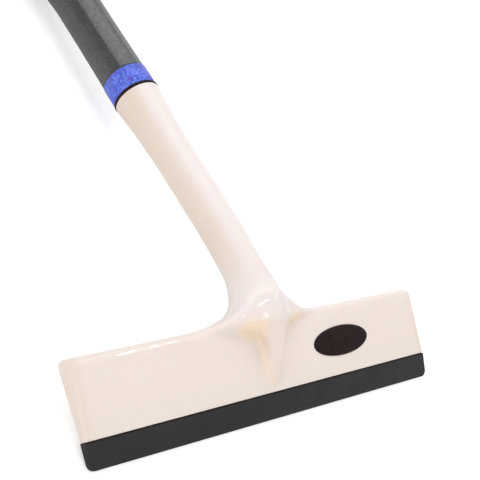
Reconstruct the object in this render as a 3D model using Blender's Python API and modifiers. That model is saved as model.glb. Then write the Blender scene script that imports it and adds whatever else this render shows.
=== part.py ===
"""Hand squeegee with a one-piece moulded body.

The body is a long tapered head, a curved neck and a straight handle in one moulding. A rubber
blade slides lengthwise in a keyhole channel under the head, a soft faceted sleeve with a bright
band covers the handle, a domed cap plugs its end and an oval badge sits in a recess of the face.

The pieces are drawn in the head's own frame: X along the blade, Y up the face, Z out of the
face, with the origin in the middle of the face's lower edge. A parent empty then lays the
squeegee down, face up, on the edge of its blade and the rim of its cap. Lengths are in metres.
"""

from math import asin, atan, atan2, cos, degrees, hypot, pi, radians, sin, sqrt, tan

import bmesh
import bpy
import numpy as np
from mathutils import Matrix, Vector

# Fits
SEAT_GAP = 0.0003
SLIDE_GAP = 0.0003

# Head
HEAD_LENGTH = 0.250
HEAD_HEIGHT = 0.0377
HEAD_FOOT_THICKNESS = 0.0049
HEAD_TOP_THICKNESS = 0.0134
HEAD_TOP_ROUNDING = 0.0040
HEAD_END_ROUNDING = 0.0040
HEAD_END_ROUNDING_AT_FOOT = 0.0015

# Handle and neck: the axis crosses the plane of the head's top edge in front of the face
HANDLE_TILT = radians(28.5)
HANDLE_AXIS_FORWARD = 0.0090
HANDLE_REACH = 0.1484
HANDLE_STRAIGHT_FROM = 0.0725
NECK_BEND_AT = 0.0357
NECK_FOOT_BELOW_TOP = 0.0035
NECK_FOOT_FORWARD = 0.0041
NECK_FOOT_RADIUS = 0.0056
NECK_FOOT_SPREAD = 1.72
NECK_RADIUS = 0.0110
NECK_RADIUS_AT = 0.1231
WAIST_RADIUS = 0.01105
WAIST_AT = 0.0500
SHOULDER_STEP = 0.00267

# Blends between handle, head and rib
SHOULDER_BLEND = 0.0244
FACE_BLEND = 0.0042
BLEND_CHANGE = 0.0090
RIB_FACE_BLEND = 0.0055
RIB_NECK_BLEND = 0.0070

# Rib down the face
RIB_TOP_ABOVE_EDGE = 0.0083
RIB_TOP_FORWARD = 0.0060
RIB_BEND_BELOW_EDGE = 0.0100
RIB_BEND_FORWARD = 0.0085
RIB_FOOT_HEIGHT = 0.0105
RIB_FOOT_FORWARD = -0.0008
RIB_TOP_RADIUS = 0.0064
RIB_FOOT_RADIUS = 0.0042

# Spigot inside the grip, and the bore of spigot and handle
SPIGOT_RADIUS = 0.0106
SPIGOT_WALL = 0.0026
BORE_TAPER = 0.0006
BORE_BELOW_GRIP = 0.0550

# Rubber blade
BLADE_HEIGHT = 0.0134
BLADE_LEAN = 0.10
BLADE_EDGE_THICKNESS = 0.0019
BLADE_CORNER_RADIUS = 0.0035
TONGUE_THICKNESS = 0.0016
BEAD_RADIUS = 0.0015
BEAD_DEPTH = 0.0070
TONGUE_ROOT = 0.0030
CHANNEL_END_WALL = 0.0050

# Grip sleeve, with its wall at the lip, next to the band, in the middle and at the flared end
GRIP_LENGTH = 0.1290
GRIP_LIP_WALL = 0.0026
GRIP_LIP_WIDTH = 0.0021
GRIP_LIP_EDGE = 0.0003
GRIP_OPEN_WALL = 0.00225
GRIP_MID_WALL = 0.0016
GRIP_END_WALL = 0.0070
GRIP_OPEN_TAPER = 0.0600
GRIP_FLARE = 0.0560
GRIP_FLARE_POWER = 1.25
GRIP_FACETS = 8
GRIP_FACET_DEPTH = 0.32
GRIP_FACET_FADE = 0.8

# Band round the sleeve
BAND_WIDTH = 0.0116
BAND_WALL = 0.00045

# End cap
CAP_EDGE = 0.0030
CAP_RIM_ROUNDING = 0.0010
CAP_DOME = 0.0026
CAP_STEM_LENGTH = 0.0180
CAP_STEM_TAPER = 0.0006
CAP_RING_RADIUS = 0.0095
CAP_RING_WIDTH = 0.0012
CAP_RING_HEIGHT = 0.0005

# Oval badge
BADGE_CENTRE = (0.0561, 0.0178)
BADGE_HALF_WIDTH = 0.0219
BADGE_HALF_HEIGHT = 0.0078
BADGE_THICKNESS = 0.0011
BADGE_PROUD = 0.0005
BADGE_EDGE_ROUNDING = 0.0003

# Mesh fineness
SIDE_COUNT = 64
BEND_STEPS = 40
RIB_STEPS = 16
BEAD_POINTS = 17
CORNER_STEPS = 6
GRIP_ROWS = 22
DOME_POINTS = 4
RIM_POINTS = 4

# Net of the moulded body: grid of the head, and the rings that leave its opening for the neck
OPENING_HALF_WIDTH = 0.0290
OPENING_FRONT_ROW = 2
OPENING_BACK_ROW = 5
FACE_COLUMNS = 22
OUTER_COLUMNS = 7
COLUMN_GROWTH = 1.2
FACE_ROWS = 9
CREST_ROWS = 6
CREST_FULLNESS = 0.5
END_ROWS = 5
END_KEEP = 0.32
SHOULDER_REACH = 0.062
SHOULDER_RINGS = 25
SHAFT_RINGS = 16
SWELL_FRONT = 0.022
SWELL_SIDE = 0.011
SWELL_BACK = 0.0044
SHRINK_STEP = 0.0015
RELAX_ROUNDS = 160
RELAX_WEIGHT = 0.5
RELAX_HALF_WIDTH = 0.0363
RELAX_FROM_HEIGHT = 0.0038
RELAX_ABOVE_EDGE = 0.0075

HEAD_SLOPE = (HEAD_TOP_THICKNESS - HEAD_FOOT_THICKNESS) / HEAD_HEIGHT
HANDLE_AXIS = np.array([cos(HANDLE_TILT), -sin(HANDLE_TILT)])
HANDLE_FRONT = np.array([sin(HANDLE_TILT), cos(HANDLE_TILT)])
GRIP_START = np.array([HEAD_HEIGHT, HANDLE_AXIS_FORWARD]) + HANDLE_AXIS * HANDLE_REACH
BORE_RADIUS = SPIGOT_RADIUS - SPIGOT_WALL
SLEEVE_BORE = SPIGOT_RADIUS + SEAT_GAP
GRIP_OPEN_RADIUS = SLEEVE_BORE + GRIP_OPEN_WALL
GRIP_MID_RADIUS = SLEEVE_BORE + GRIP_MID_WALL
GRIP_END_RADIUS = SLEEVE_BORE + GRIP_END_WALL
SHOULDER_RADIUS = SPIGOT_RADIUS + SHOULDER_STEP


# Smooth field of the moulded body


def ease(t):
    t = np.clip(t, 0.0, 1.0)
    return t * t * (3.0 - 2.0 * t)


def smooth_min(a, b, width):
    h = np.clip(1.0 - np.abs(a - b) / width, 0.0, 1.0)
    return np.minimum(a, b) - h * h * width / 4.0


def smooth_max(a, b, width):
    return -smooth_min(-a, -b, width)


def bezier(start, middle, end, count):
    t = np.linspace(0.0, 1.0, count)[:, None]
    start, middle, end = (np.asarray(p, dtype=float) for p in (start, middle, end))
    return (1.0 - t) ** 2 * start + 2.0 * t * (1.0 - t) * middle + t * t * end


def path_length(path):
    return float(np.linalg.norm(np.diff(path, axis=0), axis=1).sum())


def nearest_on_path(points, path):
    """Distance from each (y, z) point to the path, and the arc length of the nearest place."""
    best = np.full(len(points), 1e9)
    where = np.zeros(len(points))
    travelled = 0.0
    for start, end in zip(path[:-1], path[1:]):
        step = end - start
        length = float(np.linalg.norm(step))
        t = np.clip((points - start) @ step / length**2, 0.0, 1.0)
        distance = np.linalg.norm(points - start - t[:, None] * step, axis=1)
        closer = distance < best
        best[closer] = distance[closer]
        where[closer] = travelled + t[closer] * length
        travelled += length
    return best, where


def neck_path(beyond=0.0):
    """Centre line from the foot of the neck, through its bend, to the start of the grip."""
    crossing = np.array([HEAD_HEIGHT, HANDLE_AXIS_FORWARD])
    foot = np.array([HEAD_HEIGHT - NECK_FOOT_BELOW_TOP, NECK_FOOT_FORWARD])
    middle = crossing + HANDLE_AXIS * NECK_BEND_AT
    straight = crossing + HANDLE_AXIS * HANDLE_STRAIGHT_FROM
    return np.vstack([bezier(foot, middle, straight, BEND_STEPS), GRIP_START + HANDLE_AXIS * beyond])


NECK_PATH = neck_path()
NECK_PATH_LONG = neck_path(beyond=0.005)
NECK_LENGTH = path_length(NECK_PATH)
RIB_PATH = bezier(
    (HEAD_HEIGHT + RIB_TOP_ABOVE_EDGE, RIB_TOP_FORWARD),
    (HEAD_HEIGHT - RIB_BEND_BELOW_EDGE, RIB_BEND_FORWARD),
    (RIB_FOOT_HEIGHT, RIB_FOOT_FORWARD),
    RIB_STEPS,
)


def shaft_radius(down):
    """Radius of handle and neck at a distance down from the start of the grip."""
    toward_grip = np.clip(1.0 - np.maximum(down, 0.0) / WAIST_AT, 0.0, 1.0) ** 2
    toward_neck = ease((down - WAIST_AT) / (NECK_RADIUS_AT - WAIST_AT))
    toward_foot = ease((down - NECK_RADIUS_AT) / (NECK_LENGTH - NECK_RADIUS_AT))
    radius = WAIST_RADIUS + (SHOULDER_RADIUS - WAIST_RADIUS) * toward_grip
    radius = radius + (NECK_RADIUS - WAIST_RADIUS) * toward_neck
    return radius + (NECK_FOOT_RADIUS - NECK_RADIUS) * toward_foot


def shaft_spread(down):
    """Width of the neck over its depth: round above, wide where it spreads into the head."""
    begin = NECK_RADIUS_AT - BLEND_CHANGE
    return 1.0 + (NECK_FOOT_SPREAD - 1.0) * ease((down - begin) / (NECK_LENGTH - begin))


def shaft_field(p):
    distance, along = nearest_on_path(p[:, 1:], NECK_PATH_LONG)
    down = NECK_LENGTH - along
    return np.hypot(p[:, 0] / shaft_spread(down), distance) - shaft_radius(down)


def rib_field(p):
    distance, along = nearest_on_path(p[:, 1:], RIB_PATH)
    share = along / path_length(RIB_PATH)
    radius = RIB_TOP_RADIUS + (RIB_FOOT_RADIUS - RIB_TOP_RADIUS) * share
    return np.hypot(p[:, 0], distance) - radius


def head_field(p):
    x, y, z = np.abs(p[:, 0]), p[:, 1], p[:, 2]
    back = (-z - HEAD_FOOT_THICKNESS - HEAD_SLOPE * y) / sqrt(1.0 + HEAD_SLOPE**2)
    slab = smooth_max(np.maximum(z, back), y - HEAD_HEIGHT, HEAD_TOP_ROUNDING)
    grow = np.clip(y / HEAD_HEIGHT, 0.0, 1.0)
    rounding = HEAD_END_ROUNDING_AT_FOOT + (HEAD_END_ROUNDING - HEAD_END_ROUNDING_AT_FOOT) * grow
    return smooth_max(slab, x - HEAD_LENGTH / 2, rounding)


def body_field(p):
    """Negative inside the moulding and zero on its skin."""
    rise = ease((p[:, 1] - (HEAD_HEIGHT - BLEND_CHANGE)) / BLEND_CHANGE)
    blend = FACE_BLEND + (SHOULDER_BLEND - FACE_BLEND) * rise
    body = smooth_min(shaft_field(p), head_field(p), blend)
    climb = ease((p[:, 1] - (HEAD_HEIGHT - RIB_BEND_BELOW_EDGE)) / RIB_BEND_BELOW_EDGE)
    return smooth_min(body, rib_field(p), RIB_FACE_BLEND + (RIB_NECK_BLEND - RIB_FACE_BLEND) * climb)


def project(points, level, rounds=3, reach=1.0):
    """Move points along the field's slope onto the skin; level points keep their height."""
    step = 2e-5
    least_slope = 0.05
    for _ in range(rounds):
        slope = np.zeros_like(points)
        for axis in range(3):
            shift = np.zeros(3)
            shift[axis] = step
            slope[:, axis] = (body_field(points + shift) - body_field(points - shift)) / (2.0 * step)
        slope[level, 1] = 0.0
        value = np.clip(body_field(points), -reach, reach)
        points = points - (value / np.maximum((slope**2).sum(axis=1), least_slope))[:, None] * slope
    return points


# Net of the moulded body


class Net:
    """Points and faces collected row by row."""

    def __init__(self):
        self.points = []
        self.faces = []

    def add(self, rows):
        rows = np.asarray(rows, dtype=float).reshape(-1, 3)
        first = len(self.points)
        self.points.extend(rows)
        return np.arange(first, first + len(rows))

    def strip(self, low, high, closed=True):
        """Quads between two rows of equal length."""
        count = len(low)
        for i in range(count if closed else count - 1):
            k = (i + 1) % count
            self.faces.append((low[i], low[k], high[k], high[i]))


def head_profile():
    """Section of the head as (y, z): up the face, over the crest and down the back."""
    shoulder = HEAD_HEIGHT - HEAD_TOP_ROUNDING
    heights = np.linspace(0.0, shoulder, FACE_ROWS)
    front = [(y, 0.0) for y in heights]
    middle = -0.5 * (HEAD_FOOT_THICKNESS + HEAD_SLOPE * HEAD_HEIGHT)
    crest = []
    for i in range(CREST_ROWS):
        turn = pi * (i + 0.5) / CREST_ROWS
        lift = HEAD_TOP_ROUNDING * sin(turn) ** CREST_FULLNESS
        crest.append((shoulder + lift, middle - middle * cos(turn)))
    back = [(y, -HEAD_FOOT_THICKNESS - HEAD_SLOPE * y) for y in heights[::-1]]
    return np.array(front + crest + back)


def head_columns():
    """Positions along the head and how far each section closes in toward the middle plane."""
    inner = np.linspace(0.0, OPENING_HALF_WIDTH, FACE_COLUMNS // 2 + 1)
    flat_end = HEAD_LENGTH / 2 - HEAD_END_ROUNDING
    spread = np.linspace(0.0, 1.0, OUTER_COLUMNS + 1)[1:] ** COLUMN_GROWTH
    outer = OPENING_HALF_WIDTH + (flat_end - OPENING_HALF_WIDTH) * spread
    half = [(x, 1.0) for x in inner] + [(x, 1.0) for x in outer]
    for i in range(1, END_ROWS + 1):
        turn = 0.5 * pi * i / END_ROWS
        half.append((flat_end + HEAD_END_ROUNDING * sin(turn), END_KEEP + (1.0 - END_KEEP) * cos(turn)))
    return [(-x, keep) for x, keep in half[:0:-1]] + half


def head_net(net):
    """Skin of the head with an opening for the neck; returns the opening's edge."""
    profile = head_profile()
    last = len(profile) - 1
    centre_y = np.minimum(profile[:, 0], HEAD_HEIGHT - HEAD_TOP_THICKNESS / 2)
    centre_z = -0.5 * (HEAD_FOOT_THICKNESS + HEAD_SLOPE * centre_y)
    centre = np.column_stack([centre_y, centre_z])
    columns = []
    for x, keep in head_columns():
        section = centre + (profile - centre) * keep
        columns.append(net.add([(x, y, z) for y, z in section]))
    middle = len(columns) // 2
    left, right = middle - FACE_COLUMNS // 2, middle + FACE_COLUMNS // 2
    low, high = OPENING_FRONT_ROW, last - OPENING_BACK_ROW
    for i, (a, b) in enumerate(zip(columns[:-1], columns[1:])):
        for j in range(last):
            if not (left <= i < right and low <= j < high):
                net.faces.append((a[j], a[j + 1], b[j + 1], b[j]))
        net.faces.append((a[0], b[0], b[last], a[last]))
    for end in (columns[0], columns[-1]):
        for j in range(last // 2):
            net.faces.append((end[j], end[j + 1], end[last - j - 1], end[last - j]))
    opening = [columns[left][j] for j in range(low, high)]
    opening += [columns[i][high] for i in range(left, right)]
    opening += [columns[right][j] for j in range(high, low, -1)]
    opening += [columns[i][low] for i in range(right, left, -1)]
    return opening, [column[0] for column in columns] + [column[last] for column in columns]


def ring(centre, front, radius, spread, count):
    """Closed row round a point of the centre line, matched to the order of the opening's edge."""
    points = []
    for m in range(count):
        turn = 2.0 * pi * (m + FACE_COLUMNS / 2) / count
        y, z = centre + front * radius * cos(turn)
        points.append((-radius * spread * sin(turn), y, z))
    return np.array(points)


def shaft_ring(down, count):
    along = NECK_LENGTH - down
    steps = np.linalg.norm(np.diff(NECK_PATH, axis=0), axis=1)
    ends = np.concatenate([[0.0], np.cumsum(steps)])
    i = int(np.clip(np.searchsorted(ends, along) - 1, 0, len(steps) - 1))
    direction = (NECK_PATH[i + 1] - NECK_PATH[i]) / steps[i]
    centre = NECK_PATH[i] + direction * (along - ends[i])
    front = np.array([-direction[1], direction[0]])
    return ring(centre, front, float(shaft_radius(down)), float(shaft_spread(down)), count)


def neck_swell(count):
    """Outward push that starts the shoulder rings clear of the rib and the neck."""
    push = []
    for m in range(count):
        turn = 2.0 * pi * (m + FACE_COLUMNS / 2) / count
        depth = SWELL_FRONT if cos(turn) > 0.0 else SWELL_BACK
        push.append((-SWELL_SIDE * sin(turn), 0.0, depth * cos(turn)))
    return np.array(push)


def grip_ring(beyond, radius, count):
    return ring(GRIP_START + HANDLE_AXIS * beyond, HANDLE_FRONT, radius, 1.0, count)


def relax(points, faces, free, level):
    """Draw the free part of the net down onto the skin while its spacing evens out."""
    edges = {tuple(sorted((f[i], f[(i + 1) % len(f)]))) for f in faces if len(f) == 4 for i in range(4)}
    edges = np.array(sorted(edges))
    count = np.zeros(len(points))
    np.add.at(count, edges.ravel(), 1.0)
    for _ in range(RELAX_ROUNDS):
        total = np.zeros_like(points)
        np.add.at(total, edges[:, 0], points[edges[:, 1]])
        np.add.at(total, edges[:, 1], points[edges[:, 0]])
        mean = total / np.maximum(count, 1.0)[:, None]
        moved = points[free] + RELAX_WEIGHT * (mean[free] - points[free])
        points[free] = project(moved, level[free], rounds=1, reach=SHRINK_STEP)
    return points


def add_rings(net, row, rings):
    """Strips from the given row through each new ring; returns the rows of the new rings."""
    rows = []
    for points in rings:
        rows.append(net.add(points))
        net.strip(row, rows[-1])
        row = rows[-1]
    return rows


def shoulder_rings(net, opening, top):
    """Rings from the head's opening to the first ring of the shaft, swelling out between them."""
    edge = np.array([net.points[i] for i in opening])
    swell = neck_swell(len(opening))
    shares = np.arange(1, SHOULDER_RINGS) / SHOULDER_RINGS
    return [edge + (top - edge) * share + 4.0 * share * (1.0 - share) * swell for share in shares]


def spigot_rings(count):
    """Step down to the spigot, its end and the tapered bore."""
    end = GRIP_LENGTH - SEAT_GAP
    steps = [(0.0, SPIGOT_RADIUS), (end / 2, SPIGOT_RADIUS), (end, SPIGOT_RADIUS)]
    steps += [(end, BORE_RADIUS), (end / 2, BORE_RADIUS), (0.0, BORE_RADIUS)]
    steps += [(-BORE_BELOW_GRIP, BORE_RADIUS - BORE_TAPER)]
    return [grip_ring(beyond, radius, count) for beyond, radius in steps]


def body_net():
    net = Net()
    opening, foot_rows = head_net(net)
    count = len(opening)
    downs = np.linspace(NECK_LENGTH - SHOULDER_REACH, 0.0, SHAFT_RINGS)
    shoulder = add_rings(net, opening, shoulder_rings(net, opening, shaft_ring(downs[0], count)))
    shaft = add_rings(net, shoulder[-1], [shaft_ring(down, count) for down in downs])
    skin_end = len(net.points)
    spigot = add_rings(net, shaft[-1], spigot_rings(count))
    net.faces.append(tuple(spigot[-1]))

    points = np.array(net.points)
    level = np.zeros(len(points), dtype=bool)
    level[foot_rows] = True
    fixed = np.concatenate(shoulder + [shaft[-1]])
    skin = np.setdiff1d(np.arange(skin_end), fixed)
    points[skin] = project(points[skin], level[skin], rounds=6)
    x, y = np.abs(points[:skin_end, 0]), points[:skin_end, 1]
    beside = (x < RELAX_HALF_WIDTH) & (y > RELAX_FROM_HEIGHT) & (y < HEAD_HEIGHT + RELAX_ABOVE_EDGE)
    free = np.union1d(np.flatnonzero(beside), np.concatenate(shoulder + shaft[:3]))
    points = relax(points, net.faces, free, level)
    points[free] = project(points[free], level[free], rounds=4)
    return points, net.faces


# Objects


def material(name, colour, roughness, metallic=0.0):
    made = bpy.data.materials.new(name)
    made.use_nodes = True
    shader = made.node_tree.nodes["Principled BSDF"]
    shader.inputs["Base Color"].default_value = (*colour, 1.0)
    shader.inputs["Roughness"].default_value = roughness
    shader.inputs["Metallic"].default_value = metallic
    return made


def mesh_object(name, points, faces, collection):
    mesh = bpy.data.meshes.new(name)
    mesh.from_pydata([tuple(p) for p in points], [], [tuple(int(i) for i in f) for f in faces])
    shell = bmesh.new()
    shell.from_mesh(mesh)
    bmesh.ops.recalc_face_normals(shell, faces=shell.faces)
    shell.to_mesh(mesh)
    shell.free()
    made = bpy.data.objects.new(name, mesh)
    collection.objects.link(made)
    return made


def prism(name, outline, half_length, collection):
    """Flat outline extruded both ways along the local Z axis."""
    curve = bpy.data.curves.new(name, "CURVE")
    curve.dimensions = "2D"
    curve.fill_mode = "BOTH"
    curve.extrude = half_length
    spline = curve.splines.new("POLY")
    spline.points.add(len(outline) - 1)
    for point, (x, y) in zip(spline.points, outline):
        point.co = (x, y, 0.0, 1.0)
    spline.use_cyclic_u = True
    guide = bpy.data.objects.new(name + "_outline", curve)
    collection.objects.link(guide)
    evaluated = guide.evaluated_get(bpy.context.evaluated_depsgraph_get())
    mesh = bpy.data.meshes.new_from_object(evaluated)
    shell = bmesh.new()
    shell.from_mesh(mesh)
    bmesh.ops.remove_doubles(shell, verts=shell.verts, dist=1e-6)
    bmesh.ops.recalc_face_normals(shell, faces=shell.faces)
    shell.to_mesh(mesh)
    shell.free()
    mesh.name = name
    bpy.data.objects.remove(guide)
    made = bpy.data.objects.new(name, mesh)
    collection.objects.link(made)
    return made


def turned(name, profile, closed, collection, steps=SIDE_COUNT):
    """Profile of (radius, height) points, down the outer side, turned about the local Z axis."""
    mesh = bpy.data.meshes.new(name)
    count = len(profile)
    edges = [(i, i + 1) for i in range(count - 1)] + ([(count - 1, 0)] if closed else [])
    mesh.from_pydata([(r, 0.0, z) for r, z in profile], edges, [])
    made = bpy.data.objects.new(name, mesh)
    collection.objects.link(made)
    screw = made.modifiers.new("turn", "SCREW")
    screw.axis = "Z"
    screw.steps = steps
    screw.render_steps = steps
    screw.use_merge_vertices = True
    screw.merge_threshold = 1e-6
    return made


def arc(centre, radius, start, end, count):
    """Points of an arc from one angle to another, in degrees."""
    angles = np.radians(np.linspace(start, end, count))
    return [(centre[0] + radius * cos(a), centre[1] + radius * sin(a)) for a in angles]


def boolean(target, tool, operation):
    tool.hide_render = True
    tool.display_type = "WIRE"
    made = target.modifiers.new(operation.lower() + "_" + tool.name, "BOOLEAN")
    made.operation = operation
    made.solver = "EXACT"
    made.object = tool


def cut(target, tool):
    boolean(target, tool, "DIFFERENCE")


def join(target, tool):
    boolean(target, tool, "UNION")


def finish(made, paint, angle=30.0):
    made.data.materials.clear()
    made.data.materials.append(paint)
    made.data.shade_smooth()
    made.data.set_sharp_from_angle(angle=radians(angle))


def along_head(y, z, turn=0.0):
    """Places a prism with its length along the head, its local X up the face."""
    axes = Matrix(((0.0, 0.0, 1.0), (1.0, 0.0, 0.0), (0.0, 1.0, 0.0))).to_4x4()
    return Matrix.Translation((0.0, y, z)) @ Matrix.Rotation(turn, 4, "X") @ axes


# Pieces


def keyhole(neck_half, bead_radius, start, depth):
    """Tongue with a round bead at its inner end, from a start height up to the bead."""
    opening = degrees(asin(neck_half / bead_radius))
    bead = arc((depth, 0.0), bead_radius, -180.0 + opening, 180.0 - opening, BEAD_POINTS)
    return [(start, -neck_half)] + bead + [(start, neck_half)]


def channel_frame(shift):
    """The channel follows the middle plane of the head, shifted toward its open right end."""
    place = along_head(0.0, -HEAD_FOOT_THICKNESS / 2, turn=-atan(HEAD_SLOPE / 2))
    return Matrix.Translation((shift, 0.0, 0.0)) @ place


def make_body(parts, cutters):
    points, faces = body_net()
    body = mesh_object("body", points, faces, parts)
    slot = keyhole(TONGUE_THICKNESS / 2 + SLIDE_GAP, BEAD_RADIUS + SLIDE_GAP, -TONGUE_ROOT, BEAD_DEPTH)
    channel = prism("channel", slot, HEAD_LENGTH / 2, cutters)
    channel.matrix_world = channel_frame(CHANNEL_END_WALL)
    cut(body, channel)
    recess = badge_blank("badge_recess", SEAT_GAP, 2 * BADGE_THICKNESS, cutters)
    floor = BADGE_PROUD - BADGE_THICKNESS - SEAT_GAP
    recess.matrix_world = Matrix.Translation((*BADGE_CENTRE, floor + BADGE_THICKNESS))
    cut(body, recess)
    finish(body, material("cream_plastic", (0.86, 0.78, 0.70), 0.22), angle=50.0)
    return body, [channel, recess]


def make_blade(parts, cutters):
    """Wedge-shaped lip under the head, joined to the tongue and bead that slide in the channel."""
    top = -SEAT_GAP
    front_edge = -BLADE_HEIGHT * tan(BLADE_LEAN)
    lip = [(top, 0.0), (top, -HEAD_FOOT_THICKNESS), (-BLADE_HEIGHT, front_edge - BLADE_EDGE_THICKNESS)]
    lip += [(-BLADE_HEIGHT, front_edge)]
    blade = prism("rubber_blade", lip, HEAD_LENGTH / 2, parts)
    round_blade_corners(blade.data)
    blade.matrix_world = along_head(0.0, 0.0)
    shape = keyhole(TONGUE_THICKNESS / 2, BEAD_RADIUS, -TONGUE_ROOT, BEAD_DEPTH)
    end_gap = CHANNEL_END_WALL + SLIDE_GAP
    tongue = prism("tongue", shape, (HEAD_LENGTH - end_gap) / 2, cutters)
    tongue.matrix_world = channel_frame(end_gap / 2)
    join(blade, tongue)
    finish(blade, material("black_rubber", (0.035, 0.033, 0.036), 0.55), angle=20.0)
    return blade, tongue


def round_blade_corners(mesh):
    shell = bmesh.new()
    shell.from_mesh(mesh)
    corners = []
    for edge in shell.edges:
        at_foot = all(abs(v.co.x + BLADE_HEIGHT) < 1e-6 for v in edge.verts)
        at_end = abs(edge.verts[0].co.z - edge.verts[1].co.z) < 1e-6
        if at_foot and at_end:
            corners.append(edge)
    bmesh.ops.bevel(
        shell, geom=corners, offset=BLADE_CORNER_RADIUS, segments=CORNER_STEPS, profile=0.5, affect="EDGES"
    )
    shell.to_mesh(mesh)
    shell.free()


def grip_radius(z):
    """Radius of the sleeve at a distance from its open end."""
    toward_open = np.clip(1.0 - z / GRIP_OPEN_TAPER, 0.0, 1.0)
    toward_end = np.clip(1.0 - (GRIP_LENGTH - z) / GRIP_FLARE, 0.0, 1.0)
    radius = GRIP_MID_RADIUS + (GRIP_OPEN_RADIUS - GRIP_MID_RADIUS) * toward_open**2
    return radius + (GRIP_END_RADIUS - GRIP_MID_RADIUS) * toward_end**GRIP_FLARE_POWER


def facet_share(z):
    """The facets fade out toward the flared end."""
    toward_end = ease((z - (GRIP_LENGTH - GRIP_FLARE)) / GRIP_FLARE)
    return GRIP_FACET_DEPTH * (1.0 - GRIP_FACET_FADE * toward_end)


def faceted_ring(z, radius, share):
    sector = 2.0 * pi / GRIP_FACETS
    points = []
    for m in range(SIDE_COUNT):
        turn = 2.0 * pi * m / SIDE_COUNT
        off_flat = (turn % sector) - sector / 2
        flat = cos(sector / 2) / cos(off_flat)
        r = radius * (1.0 - share + share * flat)
        points.append((r * cos(turn), r * sin(turn), z))
    return points


def sleeve_rings():
    """Height, radius and facet depth of each ring: lip, groove of the band, grip, end and bore."""
    lip = SLEEVE_BORE + GRIP_LIP_WALL
    groove = GRIP_OPEN_RADIUS - BAND_WALL - SEAT_GAP
    groove_end = GRIP_LIP_WIDTH + BAND_WIDTH + 2 * SEAT_GAP
    rings = [(0.0, lip - GRIP_LIP_EDGE, 0.0), (GRIP_LIP_EDGE, lip, 0.0), (GRIP_LIP_WIDTH, lip, 0.0)]
    rings += [(GRIP_LIP_WIDTH, groove, 0.0), (groove_end, groove, 0.0)]
    for z in np.linspace(groove_end, GRIP_LENGTH, GRIP_ROWS):
        rings.append((z, float(grip_radius(z)), float(facet_share(z))))
    rings += [(z, SLEEVE_BORE, 0.0) for z in (GRIP_LENGTH, GRIP_LENGTH / 2, 0.0)]
    return rings


def make_sleeve(parts):
    net = Net()
    rows = [net.add(faceted_ring(SEAT_GAP + z, radius, share)) for z, radius, share in sleeve_rings()]
    for low, high in zip(rows, rows[1:] + rows[:1]):
        net.strip(low, high)
    sleeve = mesh_object("grip_sleeve", net.points, net.faces, parts)
    finish(sleeve, material("grey_rubber", (0.10, 0.10, 0.105), 0.7), angle=40.0)
    return sleeve


def make_band(parts):
    """The band sits in a groove of the sleeve, flush with the sleeve's surface beside it."""
    low = SEAT_GAP + GRIP_LIP_WIDTH + SEAT_GAP
    high = low + BAND_WIDTH
    outer, inner = GRIP_OPEN_RADIUS, GRIP_OPEN_RADIUS - BAND_WALL
    band = turned("grip_band", [(outer, high), (outer, low), (inner, low), (inner, high)], True, parts)
    finish(band, material("blue_foil", (0.10, 0.13, 0.62), 0.35, metallic=0.6))
    return band


def cap_profile():
    """Half section of the cap, from the middle of its dome down to the middle of its stem."""
    seat = SEAT_GAP + GRIP_LENGTH + SEAT_GAP
    edge_top = seat + CAP_EDGE
    flat = GRIP_END_RADIUS - CAP_RIM_ROUNDING
    dome_radius = (flat**2 + CAP_DOME**2) / (2.0 * CAP_DOME)

    def dome(r):
        return edge_top + sqrt(dome_radius**2 - r**2) - (dome_radius - CAP_DOME)

    inner, outer = CAP_RING_RADIUS - CAP_RING_WIDTH / 2, CAP_RING_RADIUS + CAP_RING_WIDTH / 2
    profile = [(r, dome(r)) for r in (0.0, inner / 2, inner)]
    profile += [(inner, dome(inner) + CAP_RING_HEIGHT), (outer, dome(outer) + CAP_RING_HEIGHT)]
    profile += [(r, dome(r)) for r in np.linspace(outer, flat, DOME_POINTS)]
    profile += arc((flat, edge_top - CAP_RIM_ROUNDING), CAP_RIM_ROUNDING, 80.0, 0.0, RIM_POINTS)
    stem = BORE_RADIUS - SEAT_GAP
    stem_foot = seat - CAP_STEM_LENGTH
    profile += [(GRIP_END_RADIUS, seat), (stem, seat), (stem, stem_foot + CAP_STEM_TAPER)]
    return profile + [(stem - CAP_STEM_TAPER, stem_foot), (0.0, stem_foot)]


def make_cap(parts):
    cap = turned("grip_end_cap", cap_profile(), False, parts)
    finish(cap, material("cap_rubber", (0.085, 0.085, 0.09), 0.6))
    return cap


def badge_blank(name, grow, thickness, collection):
    mesh = bpy.data.meshes.new(name)
    shell = bmesh.new()
    bmesh.ops.create_cone(
        shell, cap_ends=True, segments=SIDE_COUNT, radius1=1.0, radius2=1.0, depth=thickness
    )
    bmesh.ops.scale(shell, vec=(BADGE_HALF_WIDTH + grow, BADGE_HALF_HEIGHT + grow, 1.0), verts=shell.verts)
    shell.to_mesh(mesh)
    shell.free()
    made = bpy.data.objects.new(name, mesh)
    collection.objects.link(made)
    return made


def make_badge(parts):
    badge = badge_blank("badge", 0.0, BADGE_THICKNESS, parts)
    rounding = badge.modifiers.new("edge", "BEVEL")
    rounding.width = BADGE_EDGE_ROUNDING
    rounding.segments = 2
    rounding.limit_method = "ANGLE"
    badge.matrix_world = Matrix.Translation((*BADGE_CENTRE, BADGE_PROUD - BADGE_THICKNESS / 2))
    finish(badge, material("badge_black", (0.02, 0.017, 0.018), 0.3))
    return badge


# Placing


def empty(name, matrix, parent, collection):
    made = bpy.data.objects.new(name, None)
    collection.objects.link(made)
    made.parent = parent
    made.matrix_local = matrix
    return made


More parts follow.
